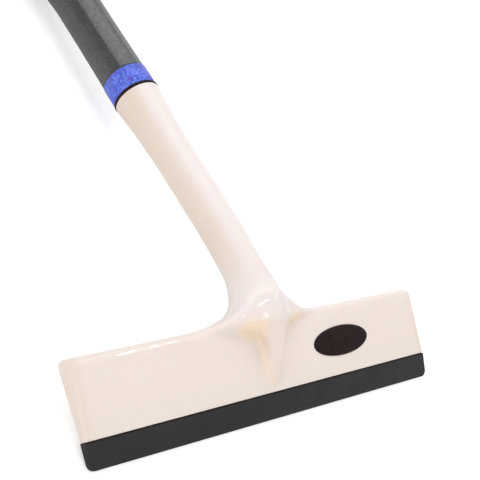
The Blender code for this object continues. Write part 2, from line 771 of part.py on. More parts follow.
def rest_angle():
    """Turn about X that puts the blade's back edge and the cap's rim on one level."""
    back_edge = np.array([-BLADE_HEIGHT, -BLADE_HEIGHT * tan(BLADE_LEAN) - BLADE_EDGE_THICKNESS])
    rim_along = SEAT_GAP + GRIP_LENGTH + SEAT_GAP + CAP_EDGE - CAP_RIM_ROUNDING
    rim = GRIP_START + HANDLE_AXIS * rim_along - HANDLE_FRONT * (GRIP_END_RADIUS - CAP_RIM_ROUNDING)
    across, up = rim - back_edge
    return asin(CAP_RIM_ROUNDING / hypot(across, up)) - atan2(up, across)


def stand_on_floor(root, parts):
    """Shift the root so that the lowest point is at height 0 and the middle is over the origin."""
    bpy.context.view_layer.update()
    graph = bpy.context.evaluated_depsgraph_get()
    corners = []
    for made in parts:
        evaluated = made.evaluated_get(graph)
        corners += [evaluated.matrix_world @ v.co for v in evaluated.data.vertices]
    low = [min(c[i] for c in corners) for i in range(3)]
    high = [max(c[i] for c in corners) for i in range(3)]
    root.location = Vector((-(low[0] + high[0]) / 2, -(low[1] + high[1]) / 2, -low[2]))


def main():
    for old in list(bpy.data.objects):
        bpy.data.objects.remove(old)
    parts = bpy.data.collections.new("hand_squeegee")
    cutters = bpy.data.collections.new("cutters")
    for made in (parts, cutters):
        bpy.context.scene.collection.children.link(made)

    root = empty("squeegee_at_rest", Matrix.Rotation(rest_angle(), 4, "X"), None, parts)
    body, tools = make_body(parts, cutters)
    blade, tongue = make_blade(parts, cutters)
    head_pieces = [body, blade, make_badge(parts)]
    grip_pieces = [make_sleeve(parts), make_band(parts), make_cap(parts)]

    columns = ((1.0, 0.0, 0.0), (0.0, -sin(HANDLE_TILT), -cos(HANDLE_TILT)), (0.0, *HANDLE_AXIS))
    grip_frame = Matrix(columns).transposed().to_4x4()
    grip_frame.translation = (0.0, *GRIP_START)
    grip_axis = empty("grip_axis", grip_frame, root, parts)
    for made in head_pieces + tools + [tongue]:
        place = made.matrix_world.copy()
        made.parent = root
        made.matrix_local = place
    for made in grip_pieces:
        made.parent = grip_axis
    stand_on_floor(root, head_pieces + grip_pieces)


main()
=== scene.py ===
"""Looks of the hand squeegee: fine surfaces, materials, floor, light and camera.

Every fine piece is drawn in the head's own frame (X along the blade, Y up the face, Z out of the
face) or in the grip's frame (Z along the grip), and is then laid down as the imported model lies.
Lengths are in metres.
"""

from math import asin, atan, atan2, cos, degrees, hypot, pi, radians, sin, sqrt, tan

import bmesh
import bpy
import numpy as np
from mathutils import Matrix, Vector


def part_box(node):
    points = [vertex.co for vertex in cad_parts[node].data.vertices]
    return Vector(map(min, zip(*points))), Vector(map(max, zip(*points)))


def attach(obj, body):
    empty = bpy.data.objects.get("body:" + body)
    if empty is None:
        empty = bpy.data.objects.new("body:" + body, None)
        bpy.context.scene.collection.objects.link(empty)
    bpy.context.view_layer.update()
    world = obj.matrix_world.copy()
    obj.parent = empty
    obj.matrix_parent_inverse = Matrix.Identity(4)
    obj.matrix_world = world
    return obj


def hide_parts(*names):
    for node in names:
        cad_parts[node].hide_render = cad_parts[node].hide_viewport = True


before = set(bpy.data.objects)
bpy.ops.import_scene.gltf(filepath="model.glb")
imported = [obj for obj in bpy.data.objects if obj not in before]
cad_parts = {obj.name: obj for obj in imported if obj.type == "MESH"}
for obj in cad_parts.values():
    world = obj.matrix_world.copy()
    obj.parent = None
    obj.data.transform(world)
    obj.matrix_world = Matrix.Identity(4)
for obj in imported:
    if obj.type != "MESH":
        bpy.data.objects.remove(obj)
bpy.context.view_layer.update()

# Fits
SEAT_GAP = 0.0003
SLIDE_GAP = 0.0003

# Lengths below this count as nothing
NEAR_ZERO = 1e-7

# Head
HEAD_LENGTH = 0.250
HEAD_HEIGHT = 0.0377
HEAD_FOOT_THICKNESS = 0.0049
HEAD_TOP_THICKNESS = 0.0134
HEAD_TOP_ROUNDING = 0.0040
HEAD_END_ROUNDING = 0.0040
HEAD_END_ROUNDING_AT_FOOT = 0.0015

# Handle and neck
HANDLE_TILT = radians(28.5)
HANDLE_AXIS_FORWARD = 0.0090
HANDLE_REACH = 0.1484
HANDLE_STRAIGHT_FROM = 0.0725
NECK_BEND_AT = 0.0357
NECK_FOOT_BELOW_TOP = 0.0035
NECK_FOOT_FORWARD = 0.0041
NECK_FOOT_RADIUS = 0.0056
NECK_FOOT_SPREAD = 1.72
NECK_RADIUS = 0.0110
NECK_RADIUS_AT = 0.1231
WAIST_RADIUS = 0.01105
WAIST_AT = 0.0500
SHOULDER_STEP = 0.00267

# Blends between handle, head and rib
SHOULDER_BLEND = 0.0244
FACE_BLEND = 0.0042
BLEND_CHANGE = 0.0090
RIB_FACE_BLEND = 0.0055
RIB_NECK_BLEND = 0.0070

# Rib down the face
RIB_TOP_ABOVE_EDGE = 0.0083
RIB_TOP_FORWARD = 0.0060
RIB_BEND_BELOW_EDGE = 0.0100
RIB_BEND_FORWARD = 0.0085
RIB_FOOT_HEIGHT = 0.0105
RIB_FOOT_FORWARD = -0.0008
RIB_TOP_RADIUS = 0.0064
RIB_FOOT_RADIUS = 0.0042

# Spigot and bore
SPIGOT_RADIUS = 0.0106
SPIGOT_WALL = 0.0026
BORE_TAPER = 0.0006
BORE_BELOW_GRIP = 0.0550

# Rubber blade
BLADE_HEIGHT = 0.0134
BLADE_LEAN = 0.10
BLADE_EDGE_THICKNESS = 0.0019
BLADE_CORNER_RADIUS = 0.0035
TONGUE_THICKNESS = 0.0016
BEAD_RADIUS = 0.0015
BEAD_DEPTH = 0.0070
TONGUE_ROOT = 0.0030
CHANNEL_END_WALL = 0.0050

# Grip sleeve, band and cap
GRIP_LENGTH = 0.1290
GRIP_LIP_WALL = 0.0026
GRIP_LIP_WIDTH = 0.0021
GRIP_OPEN_WALL = 0.00225
GRIP_MID_WALL = 0.0016
GRIP_END_WALL = 0.0070
GRIP_OPEN_TAPER = 0.0600
GRIP_FLARE = 0.0560
GRIP_FLARE_POWER = 1.25
GRIP_FACETS = 8
GRIP_FACET_DEPTH = 0.32
GRIP_FACET_FADE = 0.8
BAND_WIDTH = 0.0116
BAND_WALL = 0.00045
CAP_EDGE = 0.0030
CAP_RIM_ROUNDING = 0.0010
CAP_DOME = 0.0026
CAP_STEM_LENGTH = 0.0180
CAP_STEM_TAPER = 0.0006
CAP_RING_RADIUS = 0.0095
CAP_RING_WIDTH = 0.0012
CAP_RING_HEIGHT = 0.0005

# Oval badge
BADGE_CENTRE = (0.0561, 0.0178)
BADGE_HALF_WIDTH = 0.0219
BADGE_HALF_HEIGHT = 0.0078
BADGE_THICKNESS = 0.0011
BADGE_PROUD = 0.0005
BADGE_EDGE_ROUNDING = 0.0003

# Coarse net of the body, which is then divided and drawn onto the same skin
OPENING_HALF_WIDTH = 0.0290
OPENING_FRONT_ROW = 2
OPENING_BACK_ROW = 5
FACE_COLUMNS = 22
OUTER_COLUMNS = 7
COLUMN_GROWTH = 1.2
FACE_ROWS = 9
CREST_ROWS = 6
CREST_FULLNESS = 0.5
END_ROWS = 5
END_KEEP = 0.32
SHOULDER_REACH = 0.062
SHOULDER_RINGS = 25
SHAFT_RINGS = 16
SWELL_FRONT = 0.022
SWELL_SIDE = 0.011
SWELL_BACK = 0.0044
SHRINK_STEP = 0.0015
RELAX_ROUNDS = 160
RELAX_WEIGHT = 0.5
RELAX_HALF_WIDTH = 0.0363
RELAX_FROM_HEIGHT = 0.0038
RELAX_ABOVE_EDGE = 0.0075
RELAX_RINGS = 3

# How the body's field and its centre lines are followed
FIELD_STEP = 2e-5
LEAST_SLOPE = 0.05
NEAREST_ROUNDS = 5
NEAREST_LEAST_SHARE = 0.3
FIRST_ROUNDS = 6
LAST_ROUNDS = 4
FINE_ROUNDS = 5
PATH_STEPS = 800
PATH_SAMPLES = 13
PATH_BEYOND = 0.005

# Fineness and small edges of the looks
SKIN_CUTS = 3
SIDE_COUNT = 192
BEAD_POINTS = 33
CORNER_STEPS = 10
GRIP_ROWS = 110
FOOT_EDGE_ROUNDING = 0.00035
BLADE_EDGE_ROUNDING = 0.00030
LIP_EDGE_ROUNDING = 0.00035
BAND_EDGE_ROUNDING = 0.00012
GRIP_LIP_SHOWN = 0.0013
CAP_CENTRE_HOLE = 0.0002
CAP_RING_FOOT = 0.0002
CAP_RING_INSIDE = 0.0003
CAP_RING_OUTSIDE = 0.0004
CAP_RIM_FROM = 80.0
CAP_RING_FULLNESS = 0.7
CAP_CHAMFER = 0.0002
DOME_STEPS = 10
RING_STEPS = 13
RIM_STEPS = 8
LIP_STEPS = 5

# Warm painted shade in the creases: beside the neck, beside the rib and along two arms below the
# shoulders
NECK_CREASE_WIDTH = 0.0115
NECK_CREASE_FACE_WEIGHT = 0.6
NECK_CREASE_FADE = (0.014, 0.028)
NECK_CREASE_RISE = (0.0245, 0.0305)
RIB_CREASE_WIDTH = 0.0066
RIB_CREASE_AT_FOOT = 0.6
RIB_CREASE_RIGHT_LOSS = 0.7
RIB_CREASE_RIGHT = (0.0, 0.002)
ARM_STRENGTH = 0.9
ARM_HEIGHT = 0.0347
ARM_HALF_HEIGHT = 0.0028
ARM_INNER = (0.004, 0.014)
ARM_MIDDLE = 0.003
ARM_OUTER = (0.018, 0.033)
CREASE_END = (0.0005, 0.0055)
ON_SKIN = 1e-4

# Parting line of the mould, on neck and handle only
PARTING_STEPS = 400
PARTING_FROM = (0.012, 0.022)

BLADE_FOOT_FRONT = -BLADE_HEIGHT * tan(BLADE_LEAN)
BLADE_FOOT_BACK = BLADE_FOOT_FRONT - BLADE_EDGE_THICKNESS
HEAD_SLOPE = (HEAD_TOP_THICKNESS - HEAD_FOOT_THICKNESS) / HEAD_HEIGHT
HANDLE_AXIS = np.array([cos(HANDLE_TILT), -sin(HANDLE_TILT)])
HANDLE_FRONT = np.array([sin(HANDLE_TILT), cos(HANDLE_TILT)])
GRIP_START = np.array([HEAD_HEIGHT, HANDLE_AXIS_FORWARD]) + HANDLE_AXIS * HANDLE_REACH
BORE_RADIUS = SPIGOT_RADIUS - SPIGOT_WALL
SLEEVE_BORE = SPIGOT_RADIUS + SEAT_GAP
GRIP_OPEN_RADIUS = SLEEVE_BORE + GRIP_OPEN_WALL
GRIP_MID_RADIUS = SLEEVE_BORE + GRIP_MID_WALL
GRIP_END_RADIUS = SLEEVE_BORE + GRIP_END_WALL
SHOULDER_RADIUS = SPIGOT_RADIUS + SHOULDER_STEP


# Placing: the squeegee lies on the back edge of its blade and the rim of its cap


def rest_angle():
    """Turn about the head's length that lays blade and cap on the floor."""
    back_edge = np.array([-BLADE_HEIGHT, BLADE_FOOT_BACK])
    rim_along = SEAT_GAP + GRIP_LENGTH + SEAT_GAP + CAP_EDGE - CAP_RIM_ROUNDING
    rim = GRIP_START + HANDLE_AXIS * rim_along - HANDLE_FRONT * (GRIP_END_RADIUS - CAP_RIM_ROUNDING)
    across, up = rim - back_edge
    return asin(CAP_RIM_ROUNDING / hypot(across, up)) - atan2(up, across)


def head_to_world():
    """The turn at rest, shifted so that the blade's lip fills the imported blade's box."""
    angle = rest_angle()
    low_y = -BLADE_HEIGHT * cos(angle) - BLADE_FOOT_FRONT * sin(angle)
    low_z = -BLADE_HEIGHT * sin(angle) + BLADE_FOOT_BACK * cos(angle)
    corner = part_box("rubber_blade")[0]
    place = Matrix.Translation((0.0, corner.y - low_y, corner.z - low_z))
    return place @ Matrix.Rotation(angle, 4, "X")


def grip_to_head():
    columns = ((1.0, 0.0, 0.0), (0.0, -sin(HANDLE_TILT), -cos(HANDLE_TILT)), (0.0, *HANDLE_AXIS))
    made = Matrix(columns).transposed().to_4x4()
    made.translation = (0.0, *GRIP_START)
    return made


HEAD = head_to_world()
GRIP = HEAD @ grip_to_head()


# Smooth field of the moulded body


def ease(t):
    t = np.clip(t, 0.0, 1.0)
    return t * t * (3.0 - 2.0 * t)


def smooth_min(a, b, width):
    h = np.clip(1.0 - np.abs(a - b) / width, 0.0, 1.0)
    return np.minimum(a, b) - h * h * width / 4.0


def smooth_max(a, b, width):
    return -smooth_min(-a, -b, width)


class Path:
    """Centre line in the (y, z) plane: a quadratic curve that may run on along a straight line."""

    samples = np.linspace(0.0, 1.0, PATH_SAMPLES)

    def __init__(self, start, middle, end, straight_to=None):
        start, middle, end = (np.asarray(p, dtype=float) for p in (start, middle, end))
        self.start, self.end = start, end
        self.slope, self.bend = 2.0 * (middle - start), start - 2.0 * middle + end
        self.shares = np.linspace(0.0, 1.0, PATH_STEPS + 1)
        steps = np.linalg.norm(np.diff(self.at(self.shares), axis=0), axis=1)
        self.lengths = np.concatenate([[0.0], np.cumsum(steps)])
        self.run, self.unit = 0.0, None
        if straight_to is not None:
            straight = np.asarray(straight_to, dtype=float) - end
            self.run = float(np.linalg.norm(straight))
            self.unit = straight / self.run
        self.length = self.lengths[-1] + self.run

    def at(self, t):
        t = np.asarray(t)[..., None]
        return self.start + self.slope * t + self.bend * t * t

    def toward(self, t):
        step = self.slope + 2.0 * self.bend * np.asarray(t)[..., None]
        return step / np.linalg.norm(step, axis=-1)[..., None]

    def place(self, along):
        """Point and direction at an arc length."""
        if along <= self.lengths[-1] or self.unit is None:
            t = float(np.interp(along, self.lengths, self.shares))
            return self.at(t), self.toward(t)
        return self.end + self.unit * (along - self.lengths[-1]), self.unit

    def nearest(self, points):
        """Distance from each point, arc length of the nearest place and direction there."""
        apart = ((points[:, None, :] - self.at(self.samples)) ** 2).sum(axis=2)
        t = self.samples[apart.argmin(axis=1)]
        for _ in range(NEAREST_ROUNDS):
            offset = self.at(t) - points
            step = self.slope + 2.0 * self.bend * t[:, None]
            size = (step**2).sum(axis=1)
            grow = np.maximum(size + 2.0 * (offset @ self.bend), NEAREST_LEAST_SHARE * size)
            t = np.clip(t - (offset * step).sum(axis=1) / grow, 0.0, 1.0)
        distance = np.linalg.norm(self.at(t) - points, axis=1)
        along = np.interp(t, self.shares, self.lengths)
        direction = self.toward(t)
        if self.unit is not None:
            beyond = points - self.end
            past = np.clip(beyond @ self.unit, 0.0, self.run)
            to_straight = np.linalg.norm(beyond - past[:, None] * self.unit, axis=1)
            closer = to_straight < distance
            distance = np.where(closer, to_straight, distance)
            along = np.where(closer, self.lengths[-1] + past, along)
            direction = np.where(closer[:, None], self.unit, direction)
        return distance, along, direction


def neck_path(beyond=0.0):
    """Centre line from the foot of the neck, through its bend, to the start of the grip."""
    crossing = np.array([HEAD_HEIGHT, HANDLE_AXIS_FORWARD])
    foot = np.array([HEAD_HEIGHT - NECK_FOOT_BELOW_TOP, NECK_FOOT_FORWARD])
    middle = crossing + HANDLE_AXIS * NECK_BEND_AT
    straight = crossing + HANDLE_AXIS * HANDLE_STRAIGHT_FROM
    return Path(foot, middle, straight, GRIP_START + HANDLE_AXIS * beyond)


NECK_PATH = neck_path()
NECK_PATH_LONG = neck_path(beyond=PATH_BEYOND)
NECK_LENGTH = NECK_PATH.length
RIB_PATH = Path(
    (HEAD_HEIGHT + RIB_TOP_ABOVE_EDGE, RIB_TOP_FORWARD),
    (HEAD_HEIGHT - RIB_BEND_BELOW_EDGE, RIB_BEND_FORWARD),
    (RIB_FOOT_HEIGHT, RIB_FOOT_FORWARD),
)


def shaft_radius(down):
    """Radius of handle and neck at a distance down from the start of the grip."""
    toward_grip = np.clip(1.0 - np.maximum(down, 0.0) / WAIST_AT, 0.0, 1.0) ** 2
    toward_neck = ease((down - WAIST_AT) / (NECK_RADIUS_AT - WAIST_AT))
    toward_foot = ease((down - NECK_RADIUS_AT) / (NECK_LENGTH - NECK_RADIUS_AT))
    radius = WAIST_RADIUS + (SHOULDER_RADIUS - WAIST_RADIUS) * toward_grip
    radius = radius + (NECK_RADIUS - WAIST_RADIUS) * toward_neck
    return radius + (NECK_FOOT_RADIUS - NECK_RADIUS) * toward_foot


def shaft_spread(down):
    """Width of the neck over its depth: round above, wide where it spreads into the head."""
    begin = NECK_RADIUS_AT - BLEND_CHANGE
    return 1.0 + (NECK_FOOT_SPREAD - 1.0) * ease((down - begin) / (NECK_LENGTH - begin))


def shaft_field(p):
    distance, along, _ = NECK_PATH_LONG.nearest(p[:, 1:])
    down = NECK_LENGTH - along
    return np.hypot(p[:, 0] / shaft_spread(down), distance) - shaft_radius(down)


def rib_field(p):
    distance, along, _ = RIB_PATH.nearest(p[:, 1:])
    share = along / RIB_PATH.length
    radius = RIB_TOP_RADIUS + (RIB_FOOT_RADIUS - RIB_TOP_RADIUS) * share
    return np.hypot(p[:, 0], distance) - radius


def head_field(p):
    x, y, z = np.abs(p[:, 0]), p[:, 1], p[:, 2]
    back = (-z - HEAD_FOOT_THICKNESS - HEAD_SLOPE * y) / sqrt(1.0 + HEAD_SLOPE**2)
    slab = smooth_max(np.maximum(z, back), y - HEAD_HEIGHT, HEAD_TOP_ROUNDING)
    grow = np.clip(y / HEAD_HEIGHT, 0.0, 1.0)
    rounding = HEAD_END_ROUNDING_AT_FOOT + (HEAD_END_ROUNDING - HEAD_END_ROUNDING_AT_FOOT) * grow
    return smooth_max(slab, x - HEAD_LENGTH / 2, rounding)


def body_field(p):
    """Negative inside the moulding and zero on its skin."""
    rise = ease((p[:, 1] - (HEAD_HEIGHT - BLEND_CHANGE)) / BLEND_CHANGE)
    blend = FACE_BLEND + (SHOULDER_BLEND - FACE_BLEND) * rise
    body = smooth_min(shaft_field(p), head_field(p), blend)
    climb = ease((p[:, 1] - (HEAD_HEIGHT - RIB_BEND_BELOW_EDGE)) / RIB_BEND_BELOW_EDGE)
    blend = RIB_FACE_BLEND + (RIB_NECK_BLEND - RIB_FACE_BLEND) * climb
    return smooth_min(body, rib_field(p), blend)


def field_slope(points):
    slope = np.zeros_like(points)
    for axis in range(3):
        shift = np.zeros(3)
        shift[axis] = FIELD_STEP
        change = body_field(points + shift) - body_field(points - shift)
        slope[:, axis] = change / (2.0 * FIELD_STEP)
    return slope


def project(points, level, rounds, reach=1.0):
    """Move points along the field's slope onto the skin; level points keep their height."""
    for _ in range(rounds):
        slope = field_slope(points)
        slope[level, 1] = 0.0
        value = np.clip(body_field(points), -reach, reach)
        points = points - (value / np.maximum((slope**2).sum(axis=1), LEAST_SLOPE))[:, None] * slope
    return points


# Net of the moulded body


class Net:
    """Points and faces collected row by row."""

    def __init__(self):
        self.points = []
        self.faces = []

    def add(self, rows):
        rows = np.asarray(rows, dtype=float).reshape(-1, 3)
        first = len(self.points)
        self.points.extend(rows)
        return np.arange(first, first + len(rows))

    def strip(self, low, high):
        """Quads between two closed rows of equal length."""
        count = len(low)
        for i in range(count):
            k = (i + 1) % count
            self.faces.append((low[i], low[k], high[k], high[i]))


def head_profile():
    """Section of the head as (y, z): up the face, over the crest and down the back."""
    shoulder = HEAD_HEIGHT - HEAD_TOP_ROUNDING
    heights = np.linspace(0.0, shoulder, FACE_ROWS)
    front = [(y, 0.0) for y in heights]
    middle = -0.5 * (HEAD_FOOT_THICKNESS + HEAD_SLOPE * HEAD_HEIGHT)
    crest = []
    for i in range(CREST_ROWS):
        turn = pi * (i + 0.5) / CREST_ROWS
        lift = HEAD_TOP_ROUNDING * sin(turn) ** CREST_FULLNESS
        crest.append((shoulder + lift, middle - middle * cos(turn)))
    back = [(y, -HEAD_FOOT_THICKNESS - HEAD_SLOPE * y) for y in heights[::-1]]
    return np.array(front + crest + back)


def head_columns():
    """Positions along the head and how far each section closes in toward the middle plane."""
    inner = np.linspace(0.0, OPENING_HALF_WIDTH, FACE_COLUMNS // 2 + 1)
    flat_end = HEAD_LENGTH / 2 - HEAD_END_ROUNDING
    spread = np.linspace(0.0, 1.0, OUTER_COLUMNS + 1)[1:] ** COLUMN_GROWTH
    outer = OPENING_HALF_WIDTH + (flat_end - OPENING_HALF_WIDTH) * spread
    half = [(x, 1.0) for x in (*inner, *outer)]
    for i in range(1, END_ROWS + 1):
        turn = 0.5 * pi * i / END_ROWS
        keep = END_KEEP + (1.0 - END_KEEP) * cos(turn)
        half.append((flat_end + HEAD_END_ROUNDING * sin(turn), keep))
    return [(-x, keep) for x, keep in half[:0:-1]] + half


def head_net(net):
    """Skin of the head, open for the neck; returns the opening's edge and the foot's points."""
    profile = head_profile()
    last = len(profile) - 1
    centre_y = np.minimum(profile[:, 0], HEAD_HEIGHT - HEAD_TOP_THICKNESS / 2)
    centre_z = -0.5 * (HEAD_FOOT_THICKNESS + HEAD_SLOPE * centre_y)
    centre = np.column_stack([centre_y, centre_z])
    columns = []
    for x, keep in head_columns():
        section = centre + (profile - centre) * keep
        columns.append(net.add([(x, y, z) for y, z in section]))
    middle = len(columns) // 2
    left, right = middle - FACE_COLUMNS // 2, middle + FACE_COLUMNS // 2
    low, high = OPENING_FRONT_ROW, last - OPENING_BACK_ROW
    for i, (a, b) in enumerate(zip(columns[:-1], columns[1:])):
        for j in range(last):
            if not (left <= i < right and low <= j < high):
                net.faces.append((a[j], a[j + 1], b[j + 1], b[j]))
        net.faces.append((a[0], b[0], b[last], a[last]))
    for end in (columns[0], columns[-1]):
        for j in range(last // 2):
            net.faces.append((end[j], end[j + 1], end[last - j - 1], end[last - j]))
    opening = [columns[left][j] for j in range(low, high)]
    opening += [columns[i][high] for i in range(left, right)]
    opening += [columns[right][j] for j in range(high, low, -1)]
    opening += [columns[i][low] for i in range(right, left, -1)]
    return opening, [column[0] for column in columns] + [column[last] for column in columns]


def ring_turns(count):
    """Angles of a closed row of points, matched to the order of the opening's edge."""
    return [2.0 * pi * (m + FACE_COLUMNS / 2) / count for m in range(count)]


def shaft_ring(down, count):
    """Closed row of points round the centre line, a distance down from the start of the grip."""
    centre, direction = NECK_PATH.place(NECK_LENGTH - down)
    front = np.array([-direction[1], direction[0]])
    radius, spread = shaft_radius(down), shaft_spread(down)
    points = []
    for turn in ring_turns(count):
        y, z = centre + front * radius * cos(turn)
        points.append((-radius * spread * sin(turn), y, z))
    return np.array(points)


def neck_swell(count):
    """Outward push that starts the shoulder rings clear of the rib and the neck."""
    push = []
    for turn in ring_turns(count):
        depth = SWELL_FRONT if cos(turn) > 0.0 else SWELL_BACK
        push.append((-SWELL_SIDE * sin(turn), 0.0, depth * cos(turn)))
    return np.array(push)


def relax(points, faces, free, level):
    """Draw the free part of the net down onto the skin while its spacing evens out."""
    quads = [face for face in faces if len(face) == 4]
    edges = {tuple(sorted((quad[i], quad[(i + 1) % 4]))) for quad in quads for i in range(4)}
    edges = np.array(sorted(edges))
    count = np.zeros(len(points))
    np.add.at(count, edges.ravel(), 1.0)
    for _ in range(RELAX_ROUNDS):
        total = np.zeros_like(points)
        np.add.at(total, edges[:, 0], points[edges[:, 1]])
        np.add.at(total, edges[:, 1], points[edges[:, 0]])
        mean = total / np.maximum(count, 1.0)[:, None]
        moved = points[free] + RELAX_WEIGHT * (mean[free] - points[free])
        points[free] = project(moved, level[free], 1, SHRINK_STEP)
    return points


def add_rings(net, row, rings):
    """Strips from the given row through each new ring; returns the rows of the new rings."""
    rows = []
    for points in rings:
        rows.append(net.add(points))
        net.strip(row, rows[-1])
        row = rows[-1]
    return rows


def shoulder_rings(net, opening, top):
    """Rings from the head's opening to the first ring of the shaft, swelling out between them."""
    edge = np.array([net.points[i] for i in opening])
    swell = neck_swell(len(opening))
    shares = np.arange(1, SHOULDER_RINGS) / SHOULDER_RINGS
    return [edge + (top - edge) * share + 4.0 * share * (1.0 - share) * swell for share in shares]


def skin_net():
    """Points and faces of the coarse net, from the head's foot to the start of the grip."""
    net = Net()
    opening, foot_rows = head_net(net)
    count = len(opening)
    downs = np.linspace(NECK_LENGTH - SHOULDER_REACH, 0.0, SHAFT_RINGS)
    shoulder = add_rings(net, opening, shoulder_rings(net, opening, shaft_ring(downs[0], count)))
    shaft = add_rings(net, shoulder[-1], [shaft_ring(down, count) for down in downs])
    points = np.array(net.points)
    level = np.zeros(len(points), dtype=bool)
    level[foot_rows] = True
    fixed = np.concatenate(shoulder + [shaft[-1]])
    skin = np.setdiff1d(np.arange(len(points)), fixed)
    points[skin] = project(points[skin], level[skin], FIRST_ROUNDS)
    x, y = np.abs(points[:, 0]), points[:, 1]
    beside = (x < RELAX_HALF_WIDTH) & (y > RELAX_FROM_HEIGHT) & (y < HEAD_HEIGHT + RELAX_ABOVE_EDGE)
    free = np.union1d(np.flatnonzero(beside), np.concatenate(shoulder + shaft[:RELAX_RINGS]))
    points = relax(points, net.faces, free, level)
    points[free] = project(points[free], level[free], LAST_ROUNDS)
    return points, net.faces


# Mesh helpers


def plain_mesh(name, points, faces):
    mesh = bpy.data.meshes.new(name)
    mesh.from_pydata([tuple(p) for p in points], [], [tuple(int(i) for i in f) for f in faces])
    return mesh


def edited(mesh, change):
    """Runs one function on the points and faces of a mesh."""
    shell = bmesh.new()
    shell.from_mesh(mesh)
    change(shell)
    shell.to_mesh(mesh)
    shell.free()
    return mesh


def face_outward(shell):
    bmesh.ops.recalc_face_normals(shell, faces=shell.faces)


def linked(data, matrix=None):
    """An object in the scene, named like its data."""
    made = bpy.data.objects.new(data.name, data)
    bpy.context.scene.collection.objects.link(made)
    if matrix:
        made.matrix_world = matrix
    return made


def lay_down(made, angle, matrix):
    """Smooths a piece, keeps edges above the angle sharp and moves it into place."""
    made.data.shade_smooth()
    made.data.set_sharp_from_angle(angle=radians(angle))
    made.data.transform(matrix)
    return made


def applied(made):
    """Puts the mesh that the modifiers make back on the object."""
    bpy.context.view_layer.update()
    evaluated = made.evaluated_get(bpy.context.evaluated_depsgraph_get())
    mesh = bpy.data.meshes.new_from_object(evaluated)
    made.modifiers.clear()
    made.data = mesh


def bevelled(made, width, segments, angle, miter="MITER_ARC"):
    """Rounds the edges that are sharper than the angle."""
    edge = made.modifiers.new("edges", "BEVEL")
    edge.width = width
    edge.segments = segments
    edge.limit_method = "ANGLE"
    edge.angle_limit = radians(angle)
    edge.miter_outer = miter
    applied(made)


def combined(made, operation, *tools):
    """Cuts or joins a piece with tools, which are then removed."""
    for tool in tools:
        step = made.modifiers.new(tool.name, "BOOLEAN")
        step.operation = operation
        step.solver = "EXACT"
        step.object = tool
    applied(made)
    for tool in tools:
        bpy.data.objects.remove(tool)


def rings_mesh(name, rings, closed):
    """Rings of equal length joined by quads; an open row of rings gets two end faces."""
    net = Net()
    rows = [net.add(points) for points in rings]
    for low, high in zip(rows, rows[1:] + rows[:1] if closed else rows[1:]):
        net.strip(low, high)
    if not closed:
        net.faces += [tuple(rows[0]), tuple(rows[-1])]
    return edited(plain_mesh(name, net.points, net.faces), face_outward)


def prism_mesh(name, outline, half_length):
    """Outline in local X and Y, extruded both ways along local Z."""
    rings = [[(x, y, z) for x, y in outline] for z in (-half_length, half_length)]
    return rings_mesh(name, rings, False)


def arc(centre, radius, start, end, count):
    angles = np.radians(np.linspace(start, end, count))
    return [(centre[0] + radius * cos(a), centre[1] + radius * sin(a)) for a in angles]


TURNS = np.linspace(0.0, 2.0 * pi, SIDE_COUNT, endpoint=False)


def oval_ring(half_x, half_y, z):
    return np.column_stack([half_x * np.cos(TURNS), half_y * np.sin(TURNS), np.full(SIDE_COUNT, z)])


def turned_rings(profile):
    """Round rings, one for each radius and height of the profile."""
    return [oval_ring(r, r, z) for r, z in profile]


# Lays a prism's length along the head, with its local X up the face
ALONG_HEAD = Matrix(((0.0, 0.0, 1.0), (1.0, 0.0, 0.0), (0.0, 1.0, 0.0))).to_4x4()


def keyhole(neck_half, bead_radius):
    """Section of the tongue with its bead: across the head's foot, local X up the face."""
    opening = degrees(asin(neck_half / bead_radius))
    bead = arc((BEAD_DEPTH, 0.0), bead_radius, -180.0 + opening, 180.0 - opening, BEAD_POINTS)
    return [(-TONGUE_ROOT, -neck_half)] + bead + [(-TONGUE_ROOT, neck_half)]


def channel_frame(shift):
    """Place of the channel and its tongue: in the middle of the tapered head, shifted along it."""
    turn = Matrix.Rotation(-atan(HEAD_SLOPE / 2), 4, "X")
    return Matrix.Translation((shift, 0.0, -HEAD_FOOT_THICKNESS / 2)) @ turn @ ALONG_HEAD


# Node helpers


def feed(target, value):
    """Links an output to an input, or writes a plain value; colours get an alpha of 1."""
    if isinstance(value, bpy.types.NodeSocket):
        target.id_data.links.new(value, target)
    else:
        target.default_value = (*value, 1.0) if target.type == "RGBA" else value


def add_node(tree, kind, inputs=(), **settings):
    """Adds a node with its settings, feeds its inputs and returns its outputs."""
    made = tree.nodes.new(kind)
    for key, value in settings.items():
        setattr(made, key, value)
    for socket, value in dict(inputs).items():
        feed(made.inputs[socket], value)
    return made.outputs


# Usual range of noise
NOISE_LOW, NOISE_HIGH = 0.3, 0.7


